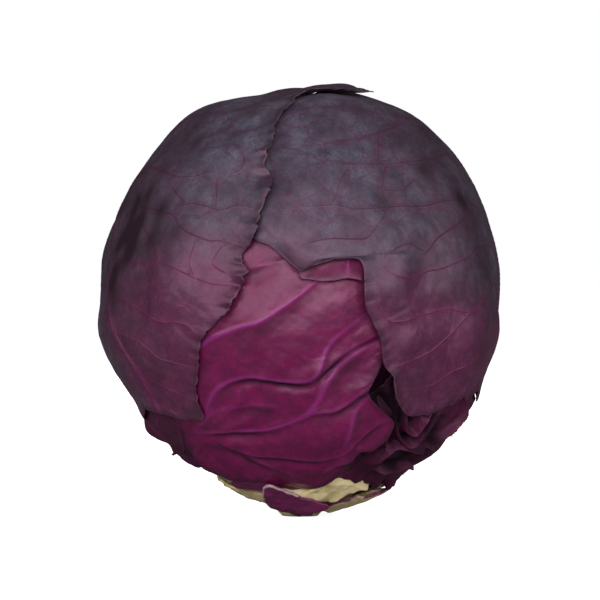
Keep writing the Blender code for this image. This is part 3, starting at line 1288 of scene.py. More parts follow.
    def unwrap(self, mesh: bpy.types.Mesh, ways: np.ndarray) -> None:
        """Lays the leaf flat in a UV map of its own, round its middle.

        Args:
            mesh: the leaf's mesh.
            ways: the points' directions.
        """
        reach = np.arccos(np.clip(ways @ self.out, -1, 1))
        turn = np.arctan2(ways @ self.east, ways @ self.north)
        flat = np.stack((reach * np.sin(turn), reach * np.cos(turn)), axis=1)
        low, high = flat.min(axis=0), flat.max(axis=0)
        flat = (flat - low) / (high - low).max()
        loops = np.empty(len(mesh.loops), np.int32)
        mesh.loops.foreach_get("vertex_index", loops)
        layer = mesh.uv_layers.get("OFBake") or mesh.uv_layers[0]
        layer.name = "OFBake"
        layer.data.foreach_set("uv", (UV_BORDER + UV_OUTER * flat[loops]).astype(np.float32).ravel())

    def thicken(self, piece: bpy.types.Object, margin_mm: np.ndarray) -> None:
        """Gives the leaf its thickness, less at the margin, and moves its inner face aside in the UV map.

        Args:
            piece: the leaf.
            margin_mm: the distance to the margin.
        """
        body = piece.vertex_groups.new(name="body")
        steps = np.round(ease(margin_mm / 5.0), 1)
        for step in np.unique(steps):
            body.add(np.flatnonzero(steps == step).tolist(), float(step), "REPLACE")
        faces = len(piece.data.polygons)
        solid = piece.modifiers.new("thickness", "SOLIDIFY")
        solid.thickness = self.thickness
        solid.offset = -1
        solid.vertex_group = "body"
        solid.thickness_vertex_group = 0.4
        select_only(piece)
        bpy.ops.object.modifier_apply(modifier="thickness")
        mesh = piece.data
        normals = np.empty(len(mesh.polygons) * 3)
        mesh.polygons.foreach_get("normal", normals)
        centres = np.empty(len(mesh.polygons) * 3)
        mesh.polygons.foreach_get("center", centres)
        normals, centres = normals.reshape(-1, 3), centres.reshape(-1, 3)
        outward = np.einsum("ij,ij->i", normals, centres - centres.mean(axis=0) + self.out * 0.05)
        first_outer = outward[:faces].mean() > outward[faces : 2 * faces].mean()
        inner = slice(faces, 2 * faces) if first_outer else slice(0, faces)
        layer = mesh.uv_layers["OFBake"]
        uv = np.empty(len(mesh.loops) * 2, np.float32)
        layer.data.foreach_get("uv", uv)
        uv = uv.reshape(-1, 2)
        starts = np.empty(len(mesh.polygons), np.int32)
        mesh.polygons.foreach_get("loop_start", starts)
        first = starts[inner][0]
        last = starts[inner][-1] + 4
        uv[first:last] = UV_INNER_FROM + (uv[first:last] - UV_BORDER) * (UV_INNER / UV_OUTER)
        layer.data.foreach_set("uv", uv.ravel())


def dress(piece: bpy.types.Object, material: bpy.types.Material, node: str | None) -> None:
    """Finishes a piece: its material, its body and the node that it stands for.

    Args:
        piece: the piece.
        material: its material.
        node: the CAD node that it replaces, if any.
    """
    piece.data.materials.clear()
    piece.data.materials.append(material)
    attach(piece, BODY)
    if node:
        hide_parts(node)
    log.info("%s: %d faces", piece.name, len(piece.data.polygons))


def plain(width: float, rise: float, *routes: Route) -> tuple[Vein, ...]:
    """Makes veins of one size.

    Args:
        width: their half width in millimetres.
        rise: their height in millimetres.
        routes: where they run.

    Returns:
        The veins.
    """
    return tuple(Vein(route, width, rise) for route in routes)


@dataclass
class LooseLeaves:
    """All the loose leaves, from the innermost out."""

    head: HeadShape
    effects: LeafEffects

    def lower_left(self) -> Leaf:
        """Describes the torn leaf low on the left.

        Returns:
            The leaf.
        """
        return Leaf(
            "lower_left_leaf_blade",
            "lower_left_leaf",
            (-72, -38),
            (
                (0, 30), (50, 27), (100, 24), (118, 20), (128, 21), (137, 25), (149, 23), (165, 17),
                (175, 12.5), (195, 13), (208, 16), (225, 17), (240, 26), (254, 34), (272, 34), (300, 30),
            ),
            PLUM,
            Slot.LOWER,
            veins=(
                *plain(0.6, 0.4, ((-64, -60), (-66, -48), (-74, -30), (-84, -12))),
                *plain(
                    0.4,
                    0.3,
                    ((-66, -50), (-54, -44), (-46, -34)),
                    ((-70, -40), (-58, -34), (-50, -24)),
                    ((-68, -46), (-86, -40), (-100, -30)),
                    ((-76, -30), (-92, -26), (-104, -18)),
                ),
            ),
            edges=(
                Edge(185, 60, lift_mm=1.6, ruffle_mm=2.0, tear_mm=1.6),
                Edge(140, 30, lift_mm=1.4, ruffle_mm=1.2, tear_mm=1.2),
            ),
            divisions=190,
            hollows=((-80, -39, 6, -4.5),),
            # Painted shade low on the leaf
            painted_shade_patches=((-72, -50, 7, 0.5), (-52, -54, 8, 0.5)),
            warm_from=0.06,
            warm_to=0.02,
            seed=3,
        )

    def lower_right(self) -> Leaf:
        """Describes the crumpled leaf low on the right.

        Returns:
            The leaf.
        """
        ribbons = (
            (
                (34, -30), (34.5, -34.5), (37.5, -39), (42.5, -42), (46, -42.5), (47.5, -41), (48, -37.5),
                (50.5, -34.5), (54, -31),
            ),
            ((38, -31), (39.5, -36.5), (41, -38), (44.5, -38.5), (45.5, -36), (46.5, -33), (50, -30)),
            (
                (65, -26.5), (67.5, -31), (66, -35.5), (62, -38.5), (59.5, -41.5), (60, -46), (59.5, -49.5),
                (62, -54),
            ),
            ((32, -35), (32.5, -38), (33, -41), (36.5, -45)),
            ((30, -56), (35.5, -49), (38.5, -45), (42, -43.5), (53.5, -44.5), (61.5, -43)),
            ((40, -56), (47, -53.5), (56, -53), (66, -50)),
        )
        gaps = (
            ((39.5, -29), (41, -33), (42.5, -37)),
            ((40.5, -39), (43, -40.6), (46, -40.4)),
            ((47, -38.5), (49, -35), (52.5, -32)),
            ((36, -33), (37, -37)),
            ((36.5, -41.5), (39, -43.5)),
            ((28, -38), (31, -43), (34, -47)),
        )
        holes = (
            ((57, -44), (57.5, -40), (57, -36), (58, -33)),
            ((42, -51.5), (47, -51.5), (53, -50.5)),
            ((52, -47.5), (59, -46)),
            ((46, -57), (54, -56)),
            ((26, -26), (28, -29), (31, -32), (35, -34)),
            ((24, -45), (28, -51)),
            ((9, -57), (16, -58), (24, -56)),
        )
        # The ribbons are raised; the gaps and holes between them are sunk and also painted near-black as
        # shade
        folds = (
            *(Vein(route, 0.3, 3.6, colour=0.5) for route in ribbons),
            *(Vein(route, 0.5, -1.6, colour=0.0, dark=1.0) for route in gaps),
            *(Vein(route, 1.7, -3.0, colour=0.0, dark=1.0) for route in holes),
        )
        return Leaf(
            "lower_right_leaf_blade",
            "lower_right_leaf",
            (52, -40),
            (
                (0, 30), (60, 42), (90, 46), (115, 42), (135, 33), (150, 29), (161, 27), (175, 25),
                (189, 24), (204, 26), (214, 30), (223, 33), (235, 34), (252, 30), (290, 27), (330, 30),
            ),
            PLUM,
            Slot.LOWER,
            veins=folds,
            edges=(
                Edge(180, 60, lift_mm=1.0, ruffle_mm=1.2, tear_mm=1.0),
                Edge(255, 50, lift_mm=-0.35, ruffle_mm=-0.25, tear_mm=0.0),
            ),
            divisions=240,
            pillow_mm=0.0,
            pucker_mm=0.14,
            lump_mm=0.6,
            hollows=((27, -29, 6, 3.4),),
            # Painted shade in and round the dark holes among the crumpled folds
            painted_shade_patches=((31, -33, 5, 0.9), (44, -50, 9, 0.35), (60, -48, 12, 0.25), (52, -44, 5, 0.3)),
            warm_from=0.08,
            warm_to=0.02,
            bloom_share=0.3,
            seed=5,
        )

    def front(self, below: tuple[Leaf, ...]) -> Leaf:
        """Describes the bright smooth leaf low in front.

        Args:
            below: the leaves that it lies over.

        Returns:
            The leaf.
        """
        veins = (
            Vein(
                ((-34, -34), (-27, -25), (-16, -21), (-5, -22), (4, -21), (9, -11), (19, -3)),
                width_mm=0.9, rise_mm=0.15, fold_mm=1.7, lip_mm=1.2, spread_mm=6.0, hollow_mm=1.0, colour=0.8,
            ),
            Vein(
                ((2, -24), (8, -18), (14, -13), (25, -7)),
                width_mm=0.5, rise_mm=0.1, fold_mm=1.6, lip_mm=1.1, spread_mm=4.0, hollow_mm=1.5, colour=0.4,
            ),
            Vein(
                ((-2, -36), (5, -29), (9, -21), (15, -15), (22, -11)),
                width_mm=1.0, rise_mm=0.2, fold_mm=0.6, lip_mm=2.2, spread_mm=4.0, hollow_mm=0.3, colour=0.7,
            ),
            Vein(
                ((-42, -38), (-26, -38), (-12, -38), (4, -32), (12, -30), (19, -25), (27, -18)),
                width_mm=0.7, rise_mm=0.15, fold_mm=1.1, lip_mm=1.2, spread_mm=5.0, hollow_mm=0.7,
                colour=0.75,
            ),
            Vein(
                ((16, -43), (17, -37), (18, -31), (23, -24)),
                width_mm=0.8, rise_mm=0.2, fold_mm=0.5, lip_mm=2.0, spread_mm=3.0, hollow_mm=0.2, colour=0.6,
            ),
            Vein(
                ((-36, -18), (-28, -11), (-18, -7), (-11, -5), (-3, 0), (6, 7), (12, 16)),
                width_mm=0.8, rise_mm=0.15, fold_mm=0.5, lip_mm=2.0, spread_mm=6.0, hollow_mm=0.3, colour=1.0,
            ),
            Vein(
                ((-36, -41), (-30, -43), (-18, -47), (0, -48), (14, -46), (24, -37), (32, -32)),
                width_mm=0.7, rise_mm=0.1, fold_mm=1.1, lip_mm=1.2, spread_mm=5.0, hollow_mm=0.9, colour=0.35,
            ),
            Vein(
                ((-36, -42), (-26, -46), (-11, -53), (2, -57)),
                width_mm=0.7, rise_mm=0.1, fold_mm=0.7, lip_mm=1.5, spread_mm=5.0, hollow_mm=0.5, colour=0.35,
            ),
            Vein(
                ((10, -55), (15, -50), (20, -47), (27, -44)),
                width_mm=0.8, rise_mm=0.2, fold_mm=1.3, lip_mm=1.2, spread_mm=3.0, hollow_mm=1.0, colour=0.5,
            ),
            Vein(
                ((-22, 6), (-14, 9), (-5, 11), (4, 14)),
                width_mm=0.5, rise_mm=0.1, fold_mm=0.3, lip_mm=1.5, spread_mm=4.0, hollow_mm=0.2, colour=0.25,
            ),
            Vein(
                ((-26, -2), (-24, 10), (-17, 17), (-6, 26)),
                width_mm=0.9, rise_mm=0.2, colour=0.9,
            ),
            Vein(
                ((-40, -38), (-30, -32), (-18, -30), (-4, -30)),
                width_mm=0.9, rise_mm=0.1, fold_mm=0.6, lip_mm=2.0, spread_mm=5.0, hollow_mm=0.3, colour=0.3,
            ),
        )
        return Leaf(
            "front_leaf_blade",
            "front_leaf",
            (-15, -12),
            (
                (0, 52), (40, 48), (74, 44), (92, 42), (99, 38.7), (103, 38), (108, 37), (114.5, 36.1),
                (118, 37.6), (120.2, 40.3), (123, 44.9), (125, 48.3), (129, 49.6), (133, 50), (136, 49.6),
                (139, 48.5), (141.5, 45.8), (145.2, 45.6), (149.5, 47.3), (154.3, 50), (159, 52),
                (162.5, 53), (166, 53.5), (171.5, 55), (175.3, 55), (178, 53), (181, 49), (185.2, 47.3),
                (191.7, 49.5), (197.5, 51.5), (204, 51), (210, 47.2), (215, 43.8), (218.4, 39.7),
                (221, 36.5), (227, 35), (240, 38), (262, 46), (290, 51), (320, 52),
            ),
            MAGENTA,
            Slot.INNER,
            below,
            veins,
            edges=(
                Edge(180, 70, lift_mm=0.5, ruffle_mm=-0.2, tear_mm=-0.30),
                Edge(125, 30, lift_mm=0.5, ruffle_mm=-0.2, tear_mm=-0.25),
            ),
            divisions=215,
            pillow_mm=0.2,
            pucker_mm=0.07,
            lump_mm=0.35,
            fan=(-40, -40, 0.18),
            warm_from=0.11,
            warm_to=0.05,
            bloom_share=0.6,
            seed=7,
        )

    def tucked(self, below: tuple[Leaf, ...]) -> Leaf:
        """Describes the small folded edge that shows under the right wrapper's margin.

        Args:
            below: the leaves that it lies over.

        Returns:
            The leaf.
        """
        return Leaf(
            "tucked_leaf_flap",
            "tucked_leaf",
            (13, 16),
            (
                (0, 20), (45, 20), (90, 16), (125, 14), (142.4, 13.1), (159, 11.2), (172, 10.2),
                (185.7, 10), (205.6, 11.6), (217.6, 13.1), (227, 14.4), (233, 15.6), (240, 15), (310, 18),
            ),
            MAGENTA,
            Slot.LOWER,
            below,
            plain(0.6, 0.3, ((12, 3), (13, 9), (15, 16), (18, 24))),
            edges=(Edge(190, 60, lift_mm=1.0, ruffle_mm=-0.2, tear_mm=-0.3),),
            divisions=110,
            warm_from=0.10,
            warm_to=0.06,
            bloom_share=3.5,
            seed=9,
        )

    def back(self, below: tuple[Leaf, ...]) -> Leaf:
        """Describes the leaf that covers the back, from the stem to the crown.

        Args:
            below: the leaves that it lies over.

        Returns:
            The leaf.
        """
        rib = ((178, -62), (176, -40), (175, -15), (177, 12), (180, 38), (184, 62))
        pairs = []
        for start in (-50, -36, -22, -8, 6, 20, 34, 48):
            pairs.append(((176, start), (158, start + 3), (138, start + 9), (120, start + 18)))
            pairs.append(((177, start + 5), (195, start + 8), (214, start + 14), (232, start + 24)))
        return Leaf(
            "back_leaf_blade",
            "back_leaf",
            (176, 12),
            (
                (0, 66), (40, 62), (80, 64), (110, 67), (135, 78), (150, 80), (165, 76), (180, 74),
                (195, 74), (210, 75), (225, 72), (250, 65), (290, 66), (325, 62),
            ),
            WRAPPER,
            Slot.WRAPPER,
            below,
            (Vein(rib, 1.3, 0.9), *plain(0.28, 0.12, *pairs)),
            divisions=215,
            seed=11,
            cream_from=24,
        )

    def right(self, below: tuple[Leaf, ...]) -> Leaf:
        """Describes the wrapper leaf over the right side and the crown.

        Args:
            below: the leaves that it lies over.

        Returns:
            The leaf.
        """
        rib = ((112, -44), (104, -28), (98, -8), (95, 14), (92, 36), (84, 54))
        routes = (
            ((86, 50), (76, 53), (60, 55), (44, 58), (27, 60), (-1, 59), (-12, 56)),
            ((62, 54), (50, 52), (36, 50), (23, 47), (10, 45), (-8, 42)),
            ((92, 38), (81, 41), (57, 40), (44, 39), (28, 38), (14, 37), (-6, 35)),
            ((95, 22), (72, 26), (52, 27), (43, 26), (29, 25), (17, 24), (10, 25), (-5, 24)),
            ((28, 25), (24, 21), (20, 17), (17, 16), (7, 16), (0, 14)),
            ((64, 26), (56, 21), (45, 17), (39, 13), (33, 15), (26, 13), (22, 10)),
            ((96, 8), (83, 14), (63, 14), (58, 12), (46, 9), (39, 8), (31, 6), (26, 7), (21, 10)),
            ((98, -6), (80, 4), (68, 2), (56, -3), (47, -2), (35, -4), (28, -5), (24, -4), (20, 2)),
            ((56, -3), (53, -5), (48, -9), (41, -13), (32, -16), (27, -17)),
            ((100, -14), (84, -8), (71, -11), (63, -15), (51, -19), (44, -23), (33, -24)),
            ((104, -26), (86, -20), (70, -27), (59, -32), (47, -34)),
            ((31, 37), (27, 30), (28, 25)),
            ((43, 34), (34, 30), (27, 30)),
            ((10, 25), (12, 30), (16, 36)),
            ((95, 16), (108, 18), (122, 26)),
            ((98, -4), (112, -4), (126, 2)),
            ((102, -22), (116, -22), (130, -18)),
            ((93, 32), (106, 38), (118, 48)),
            ((36, 50), (33, 45), (28, 38)),
            ((70, 27), (66, 20), (63, 14)),
        )
        return Leaf(
            "right_wrapper_leaf_blade",
            "right_wrapper_leaf",
            (65, 12),
            (
                (0, 75), (30, 74), (70, 70), (105, 62), (122, 58), (137, 53), (150, 48), (160, 41.5),
                (167, 38.5), (176.4, 38.5), (189, 39.5), (194.3, 42.4), (198.4, 44.9), (201.7, 47),
                (207.3, 49.2), (212.6, 51.3), (217, 51.6), (222.4, 51), (226.5, 50), (230.4, 48.9),
                (235.8, 49.6), (243.7, 47.8), (251, 48), (258, 48.9), (266.5, 47.8), (270.5, 47.4),
                (273.4, 48), (274.6, 50), (275.1, 53.5), (275.3, 57), (275.5, 60.5), (276, 64.5),
                (278.4, 68.7), (281.4, 71.3), (283.6, 74.9), (290, 77), (300, 76), (330, 74),
            ),
            WRAPPER,
            Slot.WRAPPER,
            below,
            (Vein(rib, 1.2, 0.9), *plain(0.18, 0.08, *routes)),
            edges=(
                Edge(250, 30, lift_mm=0.7, tear_mm=-0.3),
                Edge(216, 26, lift_mm=1.6, tear_mm=-0.25),
                Edge(175, 34, lift_mm=-0.3, ruffle_mm=0.2, tear_mm=0.2),
                Edge(273, 9, lift_mm=1.0, ruffle_mm=-0.3, tear_mm=-0.25),
            ),
            pulls=((0.5, 9.5, 3.2, 0.5, -3.0),),
            divisions=215,
            warm_from=0.112,
            warm_to=0.072,
            cool_patches=((84, 20, 26, 0.9), (50, 30, 14, 0.3), (20, 20, 14, 0.3)),
            bloom_patches=((10, 48, 26, 0.7), (22, 24, 16, 0.5), (84, 12, 14, 0.4), (40, 12, 10, 0.25)),
            # Painted shade on the darker places of the blade
            painted_shade_patches=(
                (52, 38, 8, 0.75), (61, 25, 8, 0.7), (68, 8, 8, 0.55), (70, 48, 8, 0.45), (46, 50, 6, 0.35),
                (27, 27, 4, 0.4), (40, 14, 5, 0.25), (12, 52, 5, 0.3), (64, -14, 7, 0.2),
            ),
            seed=13,
        )

    def left(self, below: tuple[Leaf, ...]) -> Leaf:
        """Describes the outermost wrapper leaf, over the left side.

        Args:
            below: the leaves that it lies over.

        Returns:
            The leaf.
        """
        rib = ((-49, -40), (-50, -32), (-54, -20), (-61, -9), (-70, 4), (-82, 20), (-98, 38), (-118, 54))
        routes = (
            ((-90, 30), (-71, 37), (-56, 36), (-46, 34), (-37, 34), (-32, 35), (-24, 34)),
            (
                (-80, 18), (-72, 24), (-64, 25), (-56, 25), (-42, 23), (-38, 20), (-34, 18), (-27, 16),
                (-23, 16), (-15, 14),
            ),
            ((-42, 23), (-37, 26), (-29, 25), (-24, 24), (-19, 25), (-13, 24)),
            ((-46, 31), (-41, 28), (-37, 26)),
            ((-75, 10), (-64, 11), (-53, 10), (-43, 10), (-38, 9), (-26, 5), (-16, 4)),
            ((-60, 24), (-53, 19), (-47, 15), (-43, 10)),
            ((-67, 0), (-61, 1), (-51, -2), (-43, -5), (-38, -5), (-35, -1), (-31, -3)),
            ((-38, -5), (-33, -6), (-30, -8)),
            ((-62, -7), (-57, -9), (-50, -11), (-44, -15), (-40, -16), (-31, -18)),
            ((-39, 50), (-29, 49), (-18, 48)),
            ((-44, 44), (-32, 43), (-24, 43), (-19, 38), (-20, 35), (-24, 34)),
            ((-100, 44), (-80, 54), (-47, 59), (-35, 61), (-14, 65)),
            ((-56, -17), (-48, -22), (-44, -23), (-37, -26)),
            ((-80, 4), (-78, -10), (-71, -24), (-62, -34)),
            ((-88, 2), (-88, -14), (-82, -28), (-74, -38)),
            ((-70, 4), (-92, 4), (-114, 8), (-140, 16)),
            ((-78, 14), (-100, 18), (-124, 24), (-150, 34)),
            ((-62, -9), (-92, -10), (-116, -10), (-142, -4)),
            ((-90, 30), (-110, 36), (-134, 42), (-158, 50)),
            ((-104, 44), (-124, 54), (-150, 62)),
            ((-55, -20), (-84, -26), (-110, -28), (-136, -20)),
            ((-28, 34), (-27, 29), (-26, 24)),
            ((-31, 16), (-32, 10), (-30, 6)),
            ((-22, 16), (-25, 10), (-20, 7)),
        )
        return Leaf(
            "left_wrapper_leaf_blade",
            "left_wrapper_leaf",
            (-85, 10),
            (
                (2, 99), (8, 95.5), (14, 89.5), (19, 84), (22.4, 79.8), (28, 77.5), (32.4, 75.4),
                (37, 73.4), (42.6, 72.2), (48, 71.9), (54.2, 70.6), (58, 72.3), (62, 72.8), (67, 70.9),
                (71, 71), (76, 70.1), (81, 67.1), (84.7, 68.5), (90.2, 68.2), (95, 66.5), (101.4, 63.2),
                (108.5, 59.8), (114.3, 60.6), (119, 60.8), (125.2, 61.3), (129.2, 63.3), (133, 65.5),
                (135.2, 62.5), (137.5, 58), (140.5, 54), (144, 50.8), (149, 47.8), (160, 47), (180, 50),
                (220, 56), (255, 62), (290, 70), (330, 80),
            ),
            WRAPPER,
            Slot.WRAPPER,
            below,
            (Vein(rib, 1.1, 0.7, colour=0.7), *plain(0.18, 0.08, *routes)),
            edges=(
                Edge(70, 50, lift_mm=0.5, ruffle_mm=0.5, tear_mm=0.25),
                Edge(138, 14, lift_mm=0.6, ruffle_mm=0.3, tear_mm=0.1),
                Edge(10, 22, lift_mm=0.1, ruffle_mm=0.4, tear_mm=0.8),
            ),
            divisions=215,
            warm_from=0.118,
            warm_to=0.085,
            cool_patches=((-92, 8, 34, 0.9), (-62, 26, 14, 0.5)),
            bloom_patches=(
                (-30, 46, 18, 0.75), (-40, 62, 14, 0.5), (-26, 22, 12, 0.35), (-34, 10, 9, 0.25),
                (-88, 0, 13, 0.7), (-84, -16, 11, 0.8), (-70, -27, 7, 0.6), (-60, -31, 6, 0.5),
            ),
            # Painted shade on the darker places of the blade
            painted_shade_patches=(
                (-56, 24, 10, 0.8), (-66, 8, 9, 0.7), (-48, 44, 7, 0.5), (-62, 52, 8, 0.4),
                (-38, 18, 4, 0.4), (-64, 14, 18, 0.45), (-82, 32, 14, 0.4), (-30, 62, 5, 0.3),
                (60, 80, 12, 0.6), (-20, 70, 7, 0.5), (-54, -6, 6, 0.4), (-44, -18, 5, 0.3),
                (-36, -31, 3.5, 0.5), (-40, 60, 5, 0.2),
            ),
            seed=17,
        )

    def build(self) -> tuple[Leaf, ...]:
        """Builds the leaves and dresses them.

        Returns:
            The leaves, for what is tucked under them.
        """
        lower_left, lower_right = self.lower_left(), self.lower_right()
        low = (lower_left, lower_right)
        front = self.front(low)
        tucked = self.tucked((*low, front))
        back = self.back((*low, front))
        right = self.right((*low, front, tucked, back))
        left = self.left((*low, front, tucked, back, right))
        leaves = (lower_left, lower_right, front, tucked, back, right, left)
        for leaf in leaves:
            for lower in leaf.below:
                lower.above.append(leaf)
        skins = {finish.name: finish.material(self.effects) for finish in (WRAPPER, MAGENTA, PLUM)}
        for leaf in leaves:
            dress(leaf.build(self.head), skins[leaf.finish.name], leaf.node)
        return leaves


# The margins of the broad bases at the back and of the one that reaches round the right side
BROAD_BASE: Route = ((0, 9), (45, 11), (90, 12), (135, 11), (180, 9), (225, 11), (270, 12), (315, 11))
REACHING_BASE: Route = (
    (0, 9), (45, 11), (90, 12), (135, 10), (180, 9), (225, 12), (260, 17), (285, 17), (315, 12),
)


@dataclass(frozen=True)
class Stump:
    """Where one leaf base sits, how it is cut and how it hangs."""

    middle: tuple[float, float]
    margin: Route
    raised_mm: float = 0.0
    droop_mm: float = 2.0
    tuck_mm: float = 5.5
    skin_from: float = 90.0
    rim_turn: tuple[float, float] = (180.0, 60.0)
    ragged_mm: float = 0.2


@dataclass
class LeafBases:
    """The fleshy bases left round the stem where outer leaves were trimmed off."""

    head: HeadShape
    effects: LeafEffects
    stumps: tuple[Stump, ...] = (
        Stump(
            (-32, -64),
            (
                (14, 14), (40, 14), (66, 13), (120, 13), (175, 14.5), (193, 17), (208, 17), (219, 16),
                (232, 12.5), (245, 9.5), (272, 7), (301, 6.3), (330, 8.5), (349, 10.7),
            ),
            droop_mm=2.4,
            skin_from=24.5,
            rim_turn=(0, 0),
        ),
        Stump(
            (-8, -68),
            (
                (0, 5.5), (34, 4.7), (71, 4.9), (94, 6.8), (105, 9.4), (112, 11), (120, 9.5), (130, 7.5),
                (146, 8), (158, 7.2), (173.5, 10), (181, 7), (195, 5.2), (225, 5.5), (257, 6.5), (299, 7.6),
                (322, 9.4), (336, 9.6), (344, 8.2),
            ),
            raised_mm=0.4,
            droop_mm=5.5,
            tuck_mm=0.0,
            skin_from=0.0,
            rim_turn=(325, 75),
            ragged_mm=0.4,
        ),
        Stump(
            (28, -60),
            (
                (33, 12), (60, 18), (80, 23), (94, 24), (106, 20), (116, 14), (130, 9), (161, 8.6),
                (181, 10), (194, 11), (212.6, 12.5), (225, 15), (238, 19), (262, 21), (285, 18),
                (326, 13.7),
            ),
            raised_mm=0.2,
            droop_mm=3.0,
            rim_turn=(155, 70),
        ),
        Stump(
            (66, -72),
            (
                (0, 6.5), (41, 9.5), (90, 12), (120, 11.5), (150, 10), (180, 9), (215, 10.5), (240, 10),
                (270, 6.5), (304, 4.7), (330, 5.6),
            ),
            raised_mm=0.9,
            droop_mm=1.6,
            tuck_mm=3.0,
            rim_turn=(305, 85),
        ),
        Stump((126, -68), REACHING_BASE),
        Stump((172, -68), BROAD_BASE),
        Stump((-142, -68), BROAD_BASE),
        Stump((-92, -72), ((0, 4.5), (90, 8), (180, 7), (270, 9)), droop_mm=1.6),
    )

    def build(self, covering: tuple[Leaf, ...]) -> None:
        """Builds the bases.

        Args:
            covering: the leaves that they are tucked under.
        """
        material = CREAM.material(self.effects)
        for number, stump in enumerate(self.stumps, start=1):
            base = Leaf(
                f"leaf_base_{number}_flesh",
                f"leaf_base_{number}",
                stump.middle,
                stump.margin,
                CREAM,
                Slot.BASE,
                divisions=100,
                thickness=0.0026,
                jag_mm=stump.ragged_mm,
                wave_mm=0.3,
                pillow_mm=0.0,
                lump_mm=0.4,
                pucker_mm=0.14,
                raised_mm=stump.raised_mm,
                tuck_mm=stump.tuck_mm,
                droop_mm=stump.droop_mm,
                skin_from=stump.skin_from,
                rim_turn=stump.rim_turn,
                seed=60 + 7 * number,
            )
            base.above = list(covering) if stump.tuck_mm else []
            dress(base.build(self.head), material, base.node)


@dataclass
class Heart:
    """The ball of packed inner leaves, its own purple darkened as painted shade where it shows between the
    loose ones.
    """

    head: HeadShape
    effects: LeafEffects
    segments: int = 180
    rings: int = 120

    def build(self) -> None:
        """Builds the heart from a sphere, flat at its foot."""
        bpy.ops.object.select_all(action="DESELECT")
        bpy.ops.mesh.primitive_uv_sphere_add(segments=self.segments, ring_count=self.rings, radius=1)
        piece = bpy.context.object
        piece.name = piece.data.name = "heart_leaves"
        mesh = piece.data
        ways = points_of(mesh)
        ways /= np.linalg.norm(ways, axis=1)[:, None]
        folds = 0.25 * ripple(ways * BALL_MM, 12.0, 71) - 0.4 * np.exp(
            -((ripple(ways * BALL_MM, 22.0, 72) / 0.15) ** 2)
        )
        folds = np.minimum(folds, 0.4) - Leaf.patches(ways, ((25, -26, 7, 3.5),))
        points = self.head.skin(ways, folds * MM)
        points[:, 2] = np.maximum(points[:, 2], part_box("heart")[0][2])
        mesh.vertices.foreach_set("co", points.ravel())
        far = np.full(len(ways), FAR_MM)
        warm = ease((0.10 - points[:, 2]) / 0.08)
        nothing = np.zeros(len(ways))
        keep_values(mesh, "vein", np.stack((far, far, nothing), axis=1))
        polar = np.degrees(np.arccos(np.clip(-ways[:, 2], -1, 1)))
        keep_values(mesh, "tone", np.stack((warm, nothing, ease((13 - polar) / 4)), axis=1))
        keep_values(mesh, "edge", np.stack((far, nothing, nothing), axis=1))
        mesh.shade_smooth()
        dress(piece, HEART.material(self.effects), "heart")


@dataclass
class Stem:
    """The trimmed stem, turned from a profile."""

    steps: int = 96
    face_share: float = 0.50
    chamfer: float = 0.0020
    levels: int = 8

    def build(self) -> None:
        """Builds the stem by spinning a profile, then roughens its side."""
        low, high = (np.array(corner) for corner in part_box("stem"))
        root, top = (high[0] - low[0]) / 2, high[2]
        face = root * self.face_share
        bpy.ops.object.select_all(action="DESELECT")
        bpy.ops.mesh.primitive_circle_add(vertices=self.steps, radius=face - self.chamfer, fill_type="NGON")
        piece = bpy.context.object
        piece.name = piece.data.name = "stem_stump"
        bpy.ops.object.mode_set(mode="EDIT")
        bpy.ops.mesh.select_all(action="SELECT")
        bpy.ops.mesh.extrude_region_move(TRANSFORM_OT_translate={"value": (0, 0, self.chamfer)})
        grow = face / (face - self.chamfer)
        bpy.ops.transform.resize(value=(grow, grow, 1), center_override=(0, 0, self.chamfer))
        step = (top - self.chamfer) / self.levels
        for level in range(1, self.levels + 1):
            share, below = level / self.levels, (level - 1) / self.levels
            width = (face + (root - face) * share) / (face + (root - face) * below)
            bpy.ops.mesh.extrude_region_move(TRANSFORM_OT_translate={"value": (0, 0, step)})
            height = self.chamfer + (top - self.chamfer) * share
            bpy.ops.transform.resize(value=(width, width, 1), center_override=(0, 0, height))
        bpy.ops.mesh.select_all(action="SELECT")
        bpy.ops.mesh.normals_make_consistent(inside=False)
        bpy.ops.object.mode_set(mode="OBJECT")
        mesh = piece.data
        points = points_of(mesh)
        out = np.hypot(points[:, 0], points[:, 1])
        side = ease((out - face * 0.9) / (face * 0.1)) * ease(points[:, 2] / 0.002)
        rough = 1 - side * np.abs(0.02 * ripple(points / MM, 5.0, 81))
        points[:, :2] *= rough[:, None]
        mesh.vertices.foreach_set("co", points.ravel())
        select_only(piece)
        bpy.ops.object.shade_smooth_by_angle(angle=math.radians(40))
        dress(piece, StemFinish().material(face), "stem")


# ---------------------------------------------------------------------------------------------
# Studio
# ---------------------------------------------------------------------------------------------


@dataclass(frozen=True)
class SoftBox:
    """A rectangular light, aimed at the middle of the head."""

    name: str
    place: tuple[float, float, float]
    width: float
    height: float
    watts: float
    mirrored: bool = True

    def build(self, aim: np.ndarray) -> None:
        """Hangs the light.

        Args:
            aim: the point that it faces.
        """
        bpy.ops.object.light_add(type="AREA", location=self.place)
        lamp = bpy.context.object
        lamp.name = self.name
        lamp.data.shape = "RECTANGLE"
        lamp.data.size, lamp.data.size_y = self.width, self.height
        lamp.data.energy = self.watts
        lamp.visible_glossy = self.mirrored
        lamp.rotation_euler = (Vector(aim) - Vector(self.place)).to_track_quat("-Z", "Y").to_euler()


